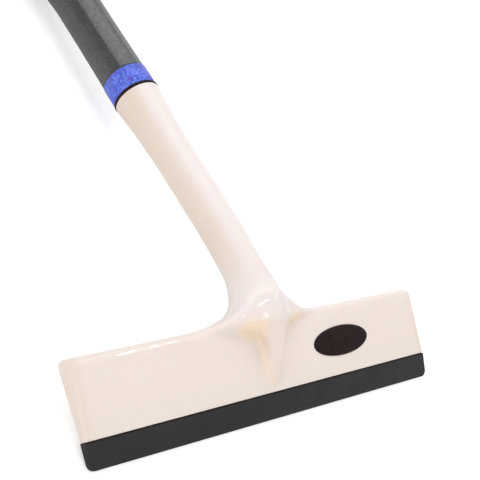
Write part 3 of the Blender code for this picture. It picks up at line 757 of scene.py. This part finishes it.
class Paint:
    """A material whose nodes are added by short calls."""

    def __init__(self, name, colour, roughness, frame_of=None):
        self.material = bpy.data.materials.new(name)
        self.material.use_nodes = True
        self.tree = self.material.node_tree
        self.shader = self.tree.nodes["Principled BSDF"]
        self.set("Base Color", colour)
        self.set("Roughness", roughness)
        self.place = self.node("ShaderNodeTexCoord")["Object"]
        if frame_of:
            inputs = {"Location": frame_of.to_translation(), "Rotation": frame_of.to_euler()}
            inputs["Vector"] = self.place
            self.place = self.node("ShaderNodeMapping", inputs, vector_type="TEXTURE")["Vector"]

    def node(self, kind, inputs=(), **settings):
        return add_node(self.tree, kind, inputs, **settings)

    def set(self, socket, value):
        feed(self.shader.inputs[socket], value)

    def stretched(self, stretch):
        """The material's place, scaled by three numbers."""
        return self.node("ShaderNodeMapping", {"Scale": stretch, "Vector": self.place})["Vector"]

    def noise(self, scale, detail=2.0, roughness=0.5, stretch=None):
        place = self.stretched(stretch) if stretch else self.place
        inputs = {"Scale": scale, "Detail": detail, "Roughness": roughness, "Vector": place}
        return self.node("ShaderNodeTexNoise", inputs)["Fac"]

    def cells(self, scale, stretch):
        """A different value in every cell."""
        inputs = {"Scale": scale, "Vector": self.stretched(stretch)}
        colour = self.node("ShaderNodeTexVoronoi", inputs)["Color"]
        return self.node("ShaderNodeSeparateColor", {"Color": colour})["Red"]

    def ramp(self, value, low, high, out_low=0.0, out_high=1.0, smooth_step=True):
        inputs = {"From Min": low, "From Max": high, "To Min": out_low, "To Max": out_high}
        inputs["Value"] = value
        kind = "SMOOTHSTEP" if smooth_step else "LINEAR"
        return self.node("ShaderNodeMapRange", inputs, interpolation_type=kind)["Result"]

    def cloud(self, scale, detail, low=0.0, high=1.0, roughness=0.5, smooth_step=True):
        """Noise spread over its usual range, between two values."""
        noise = self.noise(scale, detail, roughness)
        return self.ramp(noise, NOISE_LOW, NOISE_HIGH, low, high, smooth_step)

    def math(self, operation, a, b=0.0):
        return self.node("ShaderNodeMath", {0: a, 1: b}, operation=operation)["Value"]

    def product(self, first, *others):
        for other in others:
            first = self.math("MULTIPLY", first, other)
        return first

    def mix(self, share, a, b):
        inputs = {"Factor": share, "A": a, "B": b}
        return self.node("ShaderNodeMix", inputs, data_type="RGBA")["Result"]

    def attribute(self, name):
        return self.node("ShaderNodeAttribute", attribute_name=name)["Fac"]

    def split(self):
        parts = self.node("ShaderNodeSeparateXYZ", {"Vector": self.place})
        return parts["X"], parts["Y"], parts["Z"]

    def bump(self, height, distance, strength, under=None):
        inputs = {"Strength": strength, "Distance": distance, "Height": height}
        if under:
            inputs["Normal"] = under
        return self.node("ShaderNodeBump", inputs)["Normal"]


# Materials


# Limits between which each tone sets in, in the head's frame
# The face turns darker and warmer toward its foot
LOWER_FACE = (0.036, 0.0)
# Painted light: neck and handle are paler and cooler, which lifts the neck's shaded side
NECK_PAINTED_LIGHT = (0.0365, 0.0440)
# Painted shade on the head's rounded ends
END_SHADE = (0.1185, 0.1240)
END_SHADE_SHARE = 0.7
# Painted shade, warm, on the flanks of neck and handle
FLANK_SHADE_SIDE = (0.005, 0.012)
FLANK_SHADE_UP = (0.050, 0.085)
SEAM = (0.00030, 0.0)
# The same for the painted shade of the creases, as a share of their strength
CREASE_SHADE_TONE = (0.05, 0.90)

# Between its glints the crest is duller, and so are neck and handle
CREST_FOOT = (0.0300, 0.0320)
CREST_FRONT = (-0.0042, -0.0026)
CREST_TOP = (0.0410, 0.0390)
CREST_SIDE = (0.026, 0.034)
# Places along the head and half lengths of the glints
CREST_GLINTS = ((-0.0938, 0.0042), (-0.0755, 0.0011), (-0.0612, 0.0062))
GLINT_EDGE = 0.0020
NECK_DULL = (0.0500, 0.0560)
NECK_DULL_SHARE = 0.9
GLOSSY_COAT = 0.5
DULL_COAT = 0.08

# Painted shade, dark and brown, along the blade's upper front edge below the head, with a wandering
# border
GAP_SHADE_WANDER = 0.0002
GAP_SHADE_UP = (-0.0013, -0.0006)
GAP_SHADE_FORWARD = (-0.0008, -0.0003)

# Dark and light tone of the grip's rubbers, with the depth of their grain
SLEEVE_RUBBER = ((0.005, 0.005, 0.006), (0.076, 0.076, 0.077), 0.6)
CAP_RUBBER = ((0.007, 0.007, 0.008), (0.055, 0.055, 0.056), 0.3)
# Darker, browner and less glossy band on the sleeve's lip, with a ragged border
DARK_LIP_RAGGED = 0.0006
DARK_LIP = (0.0024, 0.0016)
RUBBER_GLOSS = 0.95
DARK_LIP_GLOSS = 0.1


def cream_plastic():
    """Glossy moulded plastic, with painted shade on flanks, ends and creases and painted light on
    neck and handle.
    """
    paint = Paint("cream_plastic", (0.79, 0.71, 0.68), 0.3, frame_of=HEAD)
    cloud = paint.cloud(16.0, 3.0, roughness=0.55)
    base = paint.mix(cloud, (0.818, 0.722, 0.672), (0.806, 0.705, 0.653))
    dust = paint.ramp(paint.noise(420.0, 3.0, 0.6), 0.45, 0.8, 0.0, 0.2)
    base = paint.mix(dust, base, (0.790, 0.690, 0.630))
    across, up, forward = paint.split()
    # Darker and warmer toward the foot of the face
    base = paint.mix(paint.ramp(up, *LOWER_FACE), base, (0.812, 0.704, 0.634))
    sideways = paint.math("ABSOLUTE", across)
    # Painted light: paler, cooler neck and handle
    base = paint.mix(paint.ramp(up, *NECK_PAINTED_LIGHT), base, (0.806, 0.724, 0.697))
    # Painted shade on the head's rounded ends
    toward_end = paint.ramp(sideways, *END_SHADE, 0.0, END_SHADE_SHARE)
    base = paint.mix(toward_end, base, (0.752, 0.645, 0.560))
    # Painted shade, warm, on the flanks of neck and handle
    painted_flank_shade = paint.product(paint.ramp(sideways, *FLANK_SHADE_SIDE), paint.ramp(up, *FLANK_SHADE_UP))
    base = paint.mix(painted_flank_shade, base, (0.765, 0.643, 0.548))
    # Warm painted shade in the creases beside neck and rib and below the shoulders
    painted_crease_shade = paint.ramp(paint.attribute("painted_crease_shade"), *CREASE_SHADE_TONE)
    base = paint.mix(painted_crease_shade, base, (0.900, 0.725, 0.545))
    paint.set("Base Color", base)
    paint.set("Roughness", paint.ramp(paint.noise(55.0, 4.0, 0.6), 0.3, 0.75, 0.32, 0.40))
    paint.set("Specular IOR Level", 0.35)
    crest = paint.product(paint.ramp(up, *CREST_FOOT), paint.ramp(forward, *CREST_FRONT))
    crest = paint.product(crest, paint.ramp(up, *CREST_TOP), paint.ramp(sideways, *CREST_SIDE))
    for centre, half in CREST_GLINTS:
        away = paint.math("ABSOLUTE", paint.math("SUBTRACT", across, centre))
        crest = paint.product(crest, paint.ramp(away, half, half + GLINT_EDGE))
    dull = paint.math("MAXIMUM", crest, paint.ramp(up, *NECK_DULL, 0.0, NECK_DULL_SHARE))
    paint.set("Coat Weight", paint.ramp(dull, 0.0, 1.0, GLOSSY_COAT, DULL_COAT, False))
    paint.set("Coat Roughness", 0.050)
    ripple = paint.bump(paint.noise(60.0, 1.0), 0.00005, 0.25)
    peel = paint.bump(paint.noise(900.0, 1.0), 0.00001, 0.2, ripple)
    parting = paint.math("ABSOLUTE", paint.attribute("parting"))
    seam = paint.product(paint.ramp(parting, *SEAM), paint.attribute("moulding_line"))
    paint.set("Normal", paint.bump(seam, 0.00010, 0.5, peel))
    paint.set("Subsurface Weight", 0.15)
    paint.set("Subsurface Radius", (1.0, 0.55, 0.30))
    paint.set("Subsurface Scale", 0.006)
    return paint.material


def black_rubber():
    """Matt rubber with fine streaks along the blade and painted shade along its upper front edge.
    """
    paint = Paint("black_rubber", (0.022, 0.021, 0.023), 0.55, frame_of=HEAD)
    cloud = paint.ramp(paint.noise(30.0, 4.0, 0.6), 0.3, 0.75)
    base = paint.mix(cloud, (0.024, 0.023, 0.025), (0.030, 0.028, 0.030))
    _, up, forward = paint.split()
    wander = paint.cloud(240.0, 3.0, -GAP_SHADE_WANDER, GAP_SHADE_WANDER, smooth_step=False)
    # Painted shade where the blade meets the head
    edge = paint.ramp(paint.math("ADD", up, wander), *GAP_SHADE_UP)
    edge = paint.product(edge, paint.ramp(forward, *GAP_SHADE_FORWARD))
    paint.set("Base Color", paint.mix(edge, base, (0.016, 0.008, 0.006)))
    paint.set("Roughness", paint.cloud(90.0, 4.0, 0.45, 0.62))
    paint.set("Specular IOR Level", 0.18)
    streak = paint.noise(900.0, 2.0, 0.5, stretch=(0.03, 1.0, 1.0))
    paint.set("Normal", paint.bump(streak, 0.00003, 0.4))
    return paint.material


def grip_rubber(name, dark, light, grain, lip=False):
    """Grey rubber with a fine grain; the sleeve's lip is darker and browner, with a ragged border.
    """
    paint = Paint(name, dark, 0.5, frame_of=GRIP)
    cloud = paint.cloud(70.0, 4.0, 0.0, 0.25, 0.65)
    speck = paint.ramp(paint.noise(1100.0, 3.0, 0.7), 0.45, 0.70, 0.0, 0.8)
    tone = paint.mix(speck, paint.mix(cloud, dark, light), light)
    if lip:
        _, _, along = paint.split()
        ragged = paint.cloud(520.0, 3.0, -DARK_LIP_RAGGED, DARK_LIP_RAGGED, smooth_step=False)
        # The lip is darker, browner and less glossy
        dark_lip = paint.ramp(paint.math("ADD", along, ragged), *DARK_LIP)
        tone = paint.mix(dark_lip, tone, (0.020, 0.008, 0.012))
        paint.set("Specular IOR Level", paint.ramp(dark_lip, 0.0, 1.0, RUBBER_GLOSS, DARK_LIP_GLOSS))
    else:
        paint.set("Specular IOR Level", RUBBER_GLOSS)
    paint.set("Base Color", tone)
    paint.set("Roughness", paint.cloud(300.0, 3.0, 0.27, 0.37))
    paint.set("Normal", paint.bump(paint.noise(1000.0, 3.0, 0.65), 0.00010, grain))
    return paint.material


def blue_foil():
    """Wrapped foil of small flakes that catch the light one by one, by their own tilt and gloss and
    by painted glints, with violet patches.
    """
    paint = Paint("blue_foil", (0.08, 0.11, 0.60), 0.35, frame_of=GRIP)
    paint.set("Metallic", 0.2)
    flake = paint.cells(1500.0, stretch=(1.0, 1.0, 0.5))
    # Painted glints: some flakes are given a lighter colour
    painted_flake_glint = paint.ramp(flake, 0.25, 1.0, 0.0, 0.8)
    base = paint.mix(painted_flake_glint, (0.070, 0.100, 0.58), (0.17, 0.28, 0.95))
    violet = paint.ramp(paint.noise(75.0, 2.0), 0.48, 0.66, 0.0, 0.6)
    paint.set("Base Color", paint.mix(violet, base, (0.13, 0.085, 0.50)))
    paint.set("Roughness", paint.ramp(flake, 0.0, 1.0, 0.30, 0.46))
    paint.set("Normal", paint.bump(flake, 0.00004, 0.5))
    return paint.material


def badge_black():
    """Bare black plate, slightly uneven."""
    paint = Paint("badge_black", (0.018, 0.011, 0.012), 0.35, frame_of=HEAD)
    base = paint.mix(paint.cloud(160.0, 3.0), (0.016, 0.008, 0.008), (0.021, 0.011, 0.011))
    paint.set("Base Color", base)
    paint.set("Roughness", paint.cloud(400.0, 3.0, 0.28, 0.42))
    paint.set("Specular IOR Level", 0.08)
    paint.set("Normal", paint.bump(paint.noise(600.0, 2.0), 0.00002, 0.4))
    return paint.material


# Pieces


def at_foot(part):
    """Whether a face or an edge lies wholly in the plane of the head's foot."""
    return all(abs(v.co.y) < NEAR_ZERO for v in part.verts)


def refine(shell):
    """Divides the coarse net, draws it onto the skin and closes both of its ends."""
    foot = [f for f in shell.faces if at_foot(f)]
    bmesh.ops.delete(shell, geom=foot, context="FACES_ONLY")
    bmesh.ops.subdivide_edges(shell, edges=shell.edges, cuts=SKIN_CUTS, use_grid_fill=True)
    shell.verts.ensure_lookup_table()
    place = np.array([v.co for v in shell.verts])
    level = np.abs(place[:, 1]) < NEAR_ZERO
    open_edges = [e for e in shell.edges if e.is_boundary]
    foot_edges = [e for e in open_edges if at_foot(e)]
    grip_edges = [e for e in open_edges if not at_foot(e)]
    at_grip = np.zeros(len(place), dtype=bool)
    at_grip[[v.index for e in grip_edges for v in e.verts]] = True
    skin = ~at_grip
    place[skin] = project(place[skin], level[skin], FINE_ROUNDS)
    centre = np.array([0.0, *GRIP_START])
    radial = place[at_grip] - centre
    radial *= (SHOULDER_RADIUS / np.linalg.norm(radial, axis=1))[:, None]
    place[at_grip] = centre + radial
    for v, co in zip(shell.verts, place):
        v.co = co
    bmesh.ops.contextual_create(shell, geom=foot_edges)
    close_grip(shell, grip_edges)
    face_outward(shell)


def close_grip(shell, edges):
    """Extrudes the skin's upper rim into the shoulder, the spigot, its end and the bore."""
    end = GRIP_LENGTH - SEAT_GAP
    steps = [(0.0, SPIGOT_RADIUS), (end, SPIGOT_RADIUS), (end, BORE_RADIUS)]
    steps += [(-BORE_BELOW_GRIP, BORE_RADIUS - BORE_TAPER)]
    centre = Vector((0.0, *GRIP_START))
    axis = Vector((0.0, *HANDLE_AXIS))
    for beyond, radius in steps:
        made = bmesh.ops.extrude_edge_only(shell, edges=edges)["geom"]
        edges = [g for g in made if isinstance(g, bmesh.types.BMEdge)]
        for v in {v for e in edges for v in e.verts}:
            out = v.co - centre
            out -= axis * out.dot(axis)
            v.co = centre + axis * beyond + out.normalized() * radius
    bmesh.ops.contextual_create(shell, geom=edges)


def step_up(value, limits):
    """Smooth step from 0 at the first limit to 1 at the second."""
    return ease((value - limits[0]) / (limits[1] - limits[0]))


def crease_shade_share(points):
    """How close each point lies to the creases where neck and rib meet the face, which sets its
    painted shade.
    """
    x, y = points[:, 0], points[:, 1]
    face = np.abs(head_field(points))
    neck = np.abs(shaft_field(points)) + NECK_CREASE_FACE_WEIGHT * face
    neck = np.clip(1.0 - neck / NECK_CREASE_WIDTH, 0.0, 1.0)
    neck *= (1.0 - step_up(np.abs(x), NECK_CREASE_FADE)) * step_up(y, NECK_CREASE_RISE)
    rib = np.clip(1.0 - (np.abs(rib_field(points)) + face) / RIB_CREASE_WIDTH, 0.0, 1.0)
    rib *= RIB_CREASE_AT_FOOT + (1.0 - RIB_CREASE_AT_FOOT) * np.clip(y / HEAD_HEIGHT, 0.0, 1.0)
    # The rib's right side, toward the light, gets less painted shade
    rib *= 1.0 - RIB_CREASE_RIGHT_LOSS * step_up(x, RIB_CREASE_RIGHT)
    # Painted shade on the face below each shoulder
    arm = ARM_STRENGTH * np.exp(-(((y - ARM_HEIGHT) / ARM_HALF_HEIGHT) ** 2))
    arm *= step_up(np.abs(x), ARM_INNER) * (1.0 - step_up(np.abs(x - ARM_MIDDLE), ARM_OUTER))
    below_edge = 1.0 - step_up(y - HEAD_HEIGHT, CREASE_END)
    return (1.0 - (1.0 - neck) * (1.0 - rib) * (1.0 - arm)) * below_edge


def mark_body(mesh):
    """Point values for the material: the painted shade of the creases, and how far in front of the
    parting line.
    """
    place = np.array([v.co for v in mesh.vertices])
    painted_crease_shade = np.where(np.abs(body_field(place)) < ON_SKIN, crease_shade_share(place), 0.0)
    _, along, direction = NECK_PATH_LONG.nearest(place[:, 1:])
    steps = np.linspace(0.0, NECK_LENGTH, PARTING_STEPS)
    centre = np.array([NECK_PATH_LONG.place(step)[0] for step in steps])
    middle = np.column_stack([np.interp(along, steps, centre[:, i]) for i in range(2)])
    offset = place[:, 1:] - middle
    front = direction[:, 0] * offset[:, 1] - direction[:, 1] * offset[:, 0]
    on_handle = step_up(place[:, 1] - HEAD_HEIGHT, PARTING_FROM)
    for name, values in (("painted_crease_shade", painted_crease_shade), ("parting", front), ("moulding_line", on_handle)):
        marks = mesh.attributes.new(name, "FLOAT", "POINT")
        marks.data.foreach_set("value", values.astype(np.float32))


def oval(grow, depth):
    """Lower and upper edge of a plate with the badge's outline, grown by a margin."""
    half_x, half_y = BADGE_HALF_WIDTH + grow, BADGE_HALF_HEIGHT + grow
    return [oval_ring(half_x, half_y, side * depth / 2) for side in (-1.0, 1.0)]


def make_body():
    body = linked(edited(plain_mesh("body_moulding", *skin_net()), refine))
    bevelled(body, FOOT_EDGE_ROUNDING, 2, 60.0, miter="MITER_SHARP")
    slot = keyhole(TONGUE_THICKNESS / 2 + SLIDE_GAP, BEAD_RADIUS + SLIDE_GAP)
    slot = prism_mesh("channel", slot, HEAD_LENGTH / 2)
    channel = linked(slot, channel_frame(CHANNEL_END_WALL))
    recess = rings_mesh("badge_recess", oval(SEAT_GAP, 2 * BADGE_THICKNESS), False)
    recess = linked(recess, Matrix.Translation((*BADGE_CENTRE, BADGE_PROUD - SEAT_GAP)))
    combined(body, "DIFFERENCE", channel, recess)
    mark_body(body.data)
    return lay_down(body, 40.0, HEAD)


def round_lip_corners(shell):
    """Rounds the two corners at the lip's foot, while the lip still stands along local Z."""
    corners = []
    for edge in shell.edges:
        low_edge = all(abs(v.co.x + BLADE_HEIGHT) < NEAR_ZERO for v in edge.verts)
        end_edge = abs(edge.verts[0].co.z - edge.verts[1].co.z) < NEAR_ZERO
        if low_edge and end_edge:
            corners.append(edge)
    size = {"offset": BLADE_CORNER_RADIUS, "segments": CORNER_STEPS, "profile": 0.5}
    bmesh.ops.bevel(shell, geom=corners, affect="EDGES", **size)


def make_blade():
    lip = [(-SEAT_GAP, 0.0), (-SEAT_GAP, -HEAD_FOOT_THICKNESS)]
    lip += [(-BLADE_HEIGHT, BLADE_FOOT_BACK), (-BLADE_HEIGHT, BLADE_FOOT_FRONT)]
    mesh = edited(prism_mesh("blade_rubber", lip, HEAD_LENGTH / 2), round_lip_corners)
    mesh.transform(ALONG_HEAD)
    blade = linked(mesh)
    bevelled(blade, BLADE_EDGE_ROUNDING, 3, 35.0)
    shape = keyhole(TONGUE_THICKNESS / 2, BEAD_RADIUS)
    end_gap = CHANNEL_END_WALL + SLIDE_GAP
    place = channel_frame(end_gap / 2)
    tongue = linked(prism_mesh("tongue", shape, (HEAD_LENGTH - end_gap) / 2), place)
    combined(blade, "UNION", tongue)
    return lay_down(blade, 35.0, HEAD)


def grip_radius(z):
    toward_open = np.clip(1.0 - z / GRIP_OPEN_TAPER, 0.0, 1.0)
    toward_end = np.clip(1.0 - (GRIP_LENGTH - z) / GRIP_FLARE, 0.0, 1.0)
    radius = GRIP_MID_RADIUS + (GRIP_OPEN_RADIUS - GRIP_MID_RADIUS) * toward_open**2
    return radius + (GRIP_END_RADIUS - GRIP_MID_RADIUS) * toward_end**GRIP_FLARE_POWER


def facet_share(z):
    toward_end = ease((z - (GRIP_LENGTH - GRIP_FLARE)) / GRIP_FLARE)
    return GRIP_FACET_DEPTH * (1.0 - GRIP_FACET_FADE * toward_end)


def faceted_ring(z, radius, share):
    """Ring between a circle (share 0) and a polygon with the grip's facets (share 1)."""
    sector = 2.0 * pi / GRIP_FACETS
    off_flat = (TURNS % sector) - sector / 2
    r = radius * (1.0 - share + share * cos(sector / 2) / np.cos(off_flat))
    return oval_ring(r, r, z)


def make_sleeve():
    lip = SLEEVE_BORE + GRIP_LIP_WALL
    groove = GRIP_OPEN_RADIUS - BAND_WALL - SEAT_GAP
    groove_end = GRIP_LIP_WIDTH + BAND_WIDTH + 2 * SEAT_GAP
    r = LIP_EDGE_ROUNDING
    lip_edge = [(z, x) for x, z in arc((lip - r, r), r, -90.0, 0.0, LIP_STEPS)]
    lip_edge += [(z, x) for x, z in arc((lip - r, GRIP_LIP_SHOWN - r), r, 0.0, 90.0, LIP_STEPS)]
    rings = [(z, radius, 0.0) for z, radius in lip_edge]
    rings += [(GRIP_LIP_SHOWN, groove, 0.0), (groove_end, groove, 0.0)]
    first, share = grip_radius(groove_end), facet_share(groove_end)
    rings += [(groove_end, first - r, share), (groove_end + r / 3, first - r / 3, share)]
    rows = np.linspace(groove_end + r, GRIP_LENGTH - r, GRIP_ROWS)
    rings += [(z, grip_radius(z), facet_share(z)) for z in rows]
    end, last, share = GRIP_LENGTH, GRIP_END_RADIUS, facet_share(GRIP_LENGTH)
    rings += [(end - r / 3, last - r / 3, share), (end, last - r, share)]
    rings += [(end, SLEEVE_BORE, 0.0), (0.0, SLEEVE_BORE, 0.0)]
    ring_points = [faceted_ring(SEAT_GAP + z, radius, share) for z, radius, share in rings]
    sleeve = linked(rings_mesh("grip_rubber_sleeve", ring_points, True))
    return lay_down(sleeve, 40.0, GRIP)


def make_band():
    low = SEAT_GAP + GRIP_LIP_SHOWN + SEAT_GAP
    high = SEAT_GAP + GRIP_LIP_WIDTH + SEAT_GAP + BAND_WIDTH
    outer, inner, r = GRIP_OPEN_RADIUS, GRIP_OPEN_RADIUS - BAND_WALL, BAND_EDGE_ROUNDING
    profile = [(inner, low), (inner, high), (outer - r, high), (outer, high - r), (outer, low + r)]
    profile += [(outer - r, low)]
    band = linked(rings_mesh("grip_blue_band", turned_rings(profile), True))
    return lay_down(band, 50.0, GRIP)


def cap_profile():
    seat = SEAT_GAP + GRIP_LENGTH + SEAT_GAP
    edge_top = seat + CAP_EDGE
    flat = GRIP_END_RADIUS - CAP_RIM_ROUNDING
    dome_radius = (flat**2 + CAP_DOME**2) / (2.0 * CAP_DOME)

    def dome(r):
        return edge_top + sqrt(dome_radius**2 - r**2) - (dome_radius - CAP_DOME)

    inner, outer = CAP_RING_RADIUS - CAP_RING_WIDTH / 2, CAP_RING_RADIUS + CAP_RING_WIDTH / 2
    inside = np.linspace(CAP_CENTRE_HOLE, inner - CAP_RING_INSIDE, DOME_STEPS)
    profile = [(r, dome(r)) for r in inside]
    for t in np.linspace(0.0, pi, RING_STEPS):
        r = CAP_RING_RADIUS - (CAP_RING_WIDTH / 2 + CAP_RING_FOOT) * cos(t)
        profile.append((r, dome(r) + CAP_RING_HEIGHT * sin(t) ** CAP_RING_FULLNESS))
    profile += [(r, dome(r)) for r in np.linspace(outer + CAP_RING_OUTSIDE, flat, DOME_STEPS)]
    rim = (flat, edge_top - CAP_RIM_ROUNDING)
    profile += arc(rim, CAP_RIM_ROUNDING, CAP_RIM_FROM, 0.0, RIM_STEPS)
    stem = BORE_RADIUS - SEAT_GAP
    foot = seat - CAP_STEM_LENGTH
    profile += [(GRIP_END_RADIUS, seat + CAP_CHAMFER), (GRIP_END_RADIUS - CAP_CHAMFER, seat)]
    profile += [(stem, seat), (stem, foot + CAP_STEM_TAPER), (stem - CAP_STEM_TAPER, foot)]
    return profile


def make_cap():
    cap = linked(rings_mesh("grip_domed_cap", turned_rings(cap_profile()), False))
    return lay_down(cap, 35.0, GRIP)


def make_badge():
    middle = BADGE_PROUD - BADGE_THICKNESS / 2
    mesh = rings_mesh("oval_badge", oval(0.0, BADGE_THICKNESS), False)
    mesh.transform(Matrix.Translation((*BADGE_CENTRE, middle)))
    badge = linked(mesh)
    bevelled(badge, BADGE_EDGE_ROUNDING, 3, 40.0)
    return lay_down(badge, 40.0, HEAD)


# Stage


# Camera of the photograph's large view, in the head's frame
CAMERA_PLACE = Vector((-0.481197, 0.045518, 0.464475))
CAMERA_RIGHT = Vector((0.692681, -0.190973, 0.695502))
CAMERA_DOWN = Vector((-0.098315, -0.980308, -0.171260))
CAMERA_FORWARD = Vector((0.714512, 0.050250, -0.697816))
CAMERA_LENS = 98.24
SENSOR = 36.0
CAMERA_NEAR = 0.01

# Light
WORLD_STRENGTH = 0.755
WORLD_IN_REFLECTIONS = 0.60
WORLD_SEEN = 1.0
FLOOR_GLOW = 0.13
FLOOR_GLOW_SEEN = 0.45
FLOOR_HALF = 3.0
FLOOR_DROP = 0.0002
WHITE = (1.0, 1.0, 1.0)
COOL_WHITE = (0.95, 0.985, 1.0)
FAR = 2.2
NEAR = 1.3
# Name, direction from the object, distance, sides of the lamp, radiance and colour
LIGHTS = (
    ("key", (0.10, 0.56, 0.81), FAR, (2.1, 0.85), 2.15, COOL_WHITE),
    ("side", (0.86, 0.44, 0.34), FAR, (0.9, 1.6), 0.70, COOL_WHITE),
    ("fill", (-0.78, -0.45, 0.42), FAR, (2.4, 2.0), 0.75, WHITE),
    ("streak", (0.580, -0.10, 0.76), NEAR, (0.50, 0.07), 13.0, WHITE),
    ("sparkle", (-0.17, -0.29, 0.945), NEAR, (0.17, 0.17), 12.0, WHITE),
)


def make_camera():
    data = bpy.data.cameras.new("camera")
    data.lens = CAMERA_LENS
    data.sensor_width = SENSOR
    data.clip_start = CAMERA_NEAR
    columns = (CAMERA_RIGHT, -CAMERA_DOWN, -CAMERA_FORWARD)
    place = Matrix([tuple(c) for c in columns]).transposed().to_4x4()
    place.translation = CAMERA_PLACE
    bpy.context.scene.camera = linked(data, HEAD @ place)


def area_light(name, toward, distance, sides, radiance, colour):
    """Lamp that faces the object, as bright in a mirror as its radiance."""
    place = Vector(toward).normalized() * distance
    data = bpy.data.lights.new(name, "AREA")
    data.shape = "RECTANGLE"
    data.size, data.size_y = sides
    data.energy = radiance * pi * sides[0] * sides[1]
    data.color = colour
    turn = place.to_track_quat("Z", "Y").to_matrix().to_4x4()
    linked(data, Matrix.Translation(place) @ turn)


def make_world():
    """Even light, weaker in reflections, with plain white behind the object."""
    world = bpy.data.worlds.new("studio")
    world.use_nodes = True
    tree = world.node_tree
    background = tree.nodes["Background"]
    feed(background.inputs["Color"], WHITE)
    path = add_node(tree, "ShaderNodeLightPath")
    strength = WORLD_STRENGTH
    for ray, seen in (("Is Glossy Ray", WORLD_IN_REFLECTIONS), ("Is Camera Ray", WORLD_SEEN)):
        inputs = {"Factor": path[ray], "A": strength, "B": seen}
        strength = add_node(tree, "ShaderNodeMix", inputs, data_type="FLOAT")["Result"]
    feed(background.inputs["Strength"], strength)
    bpy.context.scene.world = world


def make_floor():
    """White floor just below the object, with a glow that keeps shadows soft."""

    def grid(shell):
        bmesh.ops.create_grid(shell, x_segments=4, y_segments=4, size=FLOOR_HALF)

    mesh = edited(bpy.data.meshes.new("floor"), grid)
    floor = linked(mesh, Matrix.Translation((0.0, 0.0, -FLOOR_DROP)))
    paint = Paint("floor_white", (0.80, 0.80, 0.80), 0.9)
    paint.set("Specular IOR Level", 0.0)
    paint.set("Emission Color", WHITE)
    seen = paint.node("ShaderNodeLightPath")["Is Camera Ray"]
    paint.set("Emission Strength", paint.ramp(seen, 0.0, 1.0, FLOOR_GLOW, FLOOR_GLOW_SEEN, False))
    floor.data.materials.append(paint.material)


def dress(made, material, node, body="squeegee"):
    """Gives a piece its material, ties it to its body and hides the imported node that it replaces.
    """
    made.data.materials.clear()
    made.data.materials.append(material)
    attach(made, body)
    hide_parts(node)


def main():
    bpy.context.scene.view_settings.view_transform = "Standard"
    make_camera()
    make_world()
    for light in LIGHTS:
        area_light(*light)
    make_floor()
    dress(make_body(), cream_plastic(), "body")
    dress(make_blade(), black_rubber(), "rubber_blade", "blade")
    sleeve_rubber = grip_rubber("grip_grey_rubber", *SLEEVE_RUBBER, lip=True)
    cap_rubber = grip_rubber("cap_grey_rubber", *CAP_RUBBER)
    dress(make_sleeve(), sleeve_rubber, "grip_sleeve")
    dress(make_band(), blue_foil(), "grip_band")
    dress(make_cap(), cap_rubber, "grip_end_cap")
    dress(make_badge(), badge_black(), "badge")


main()
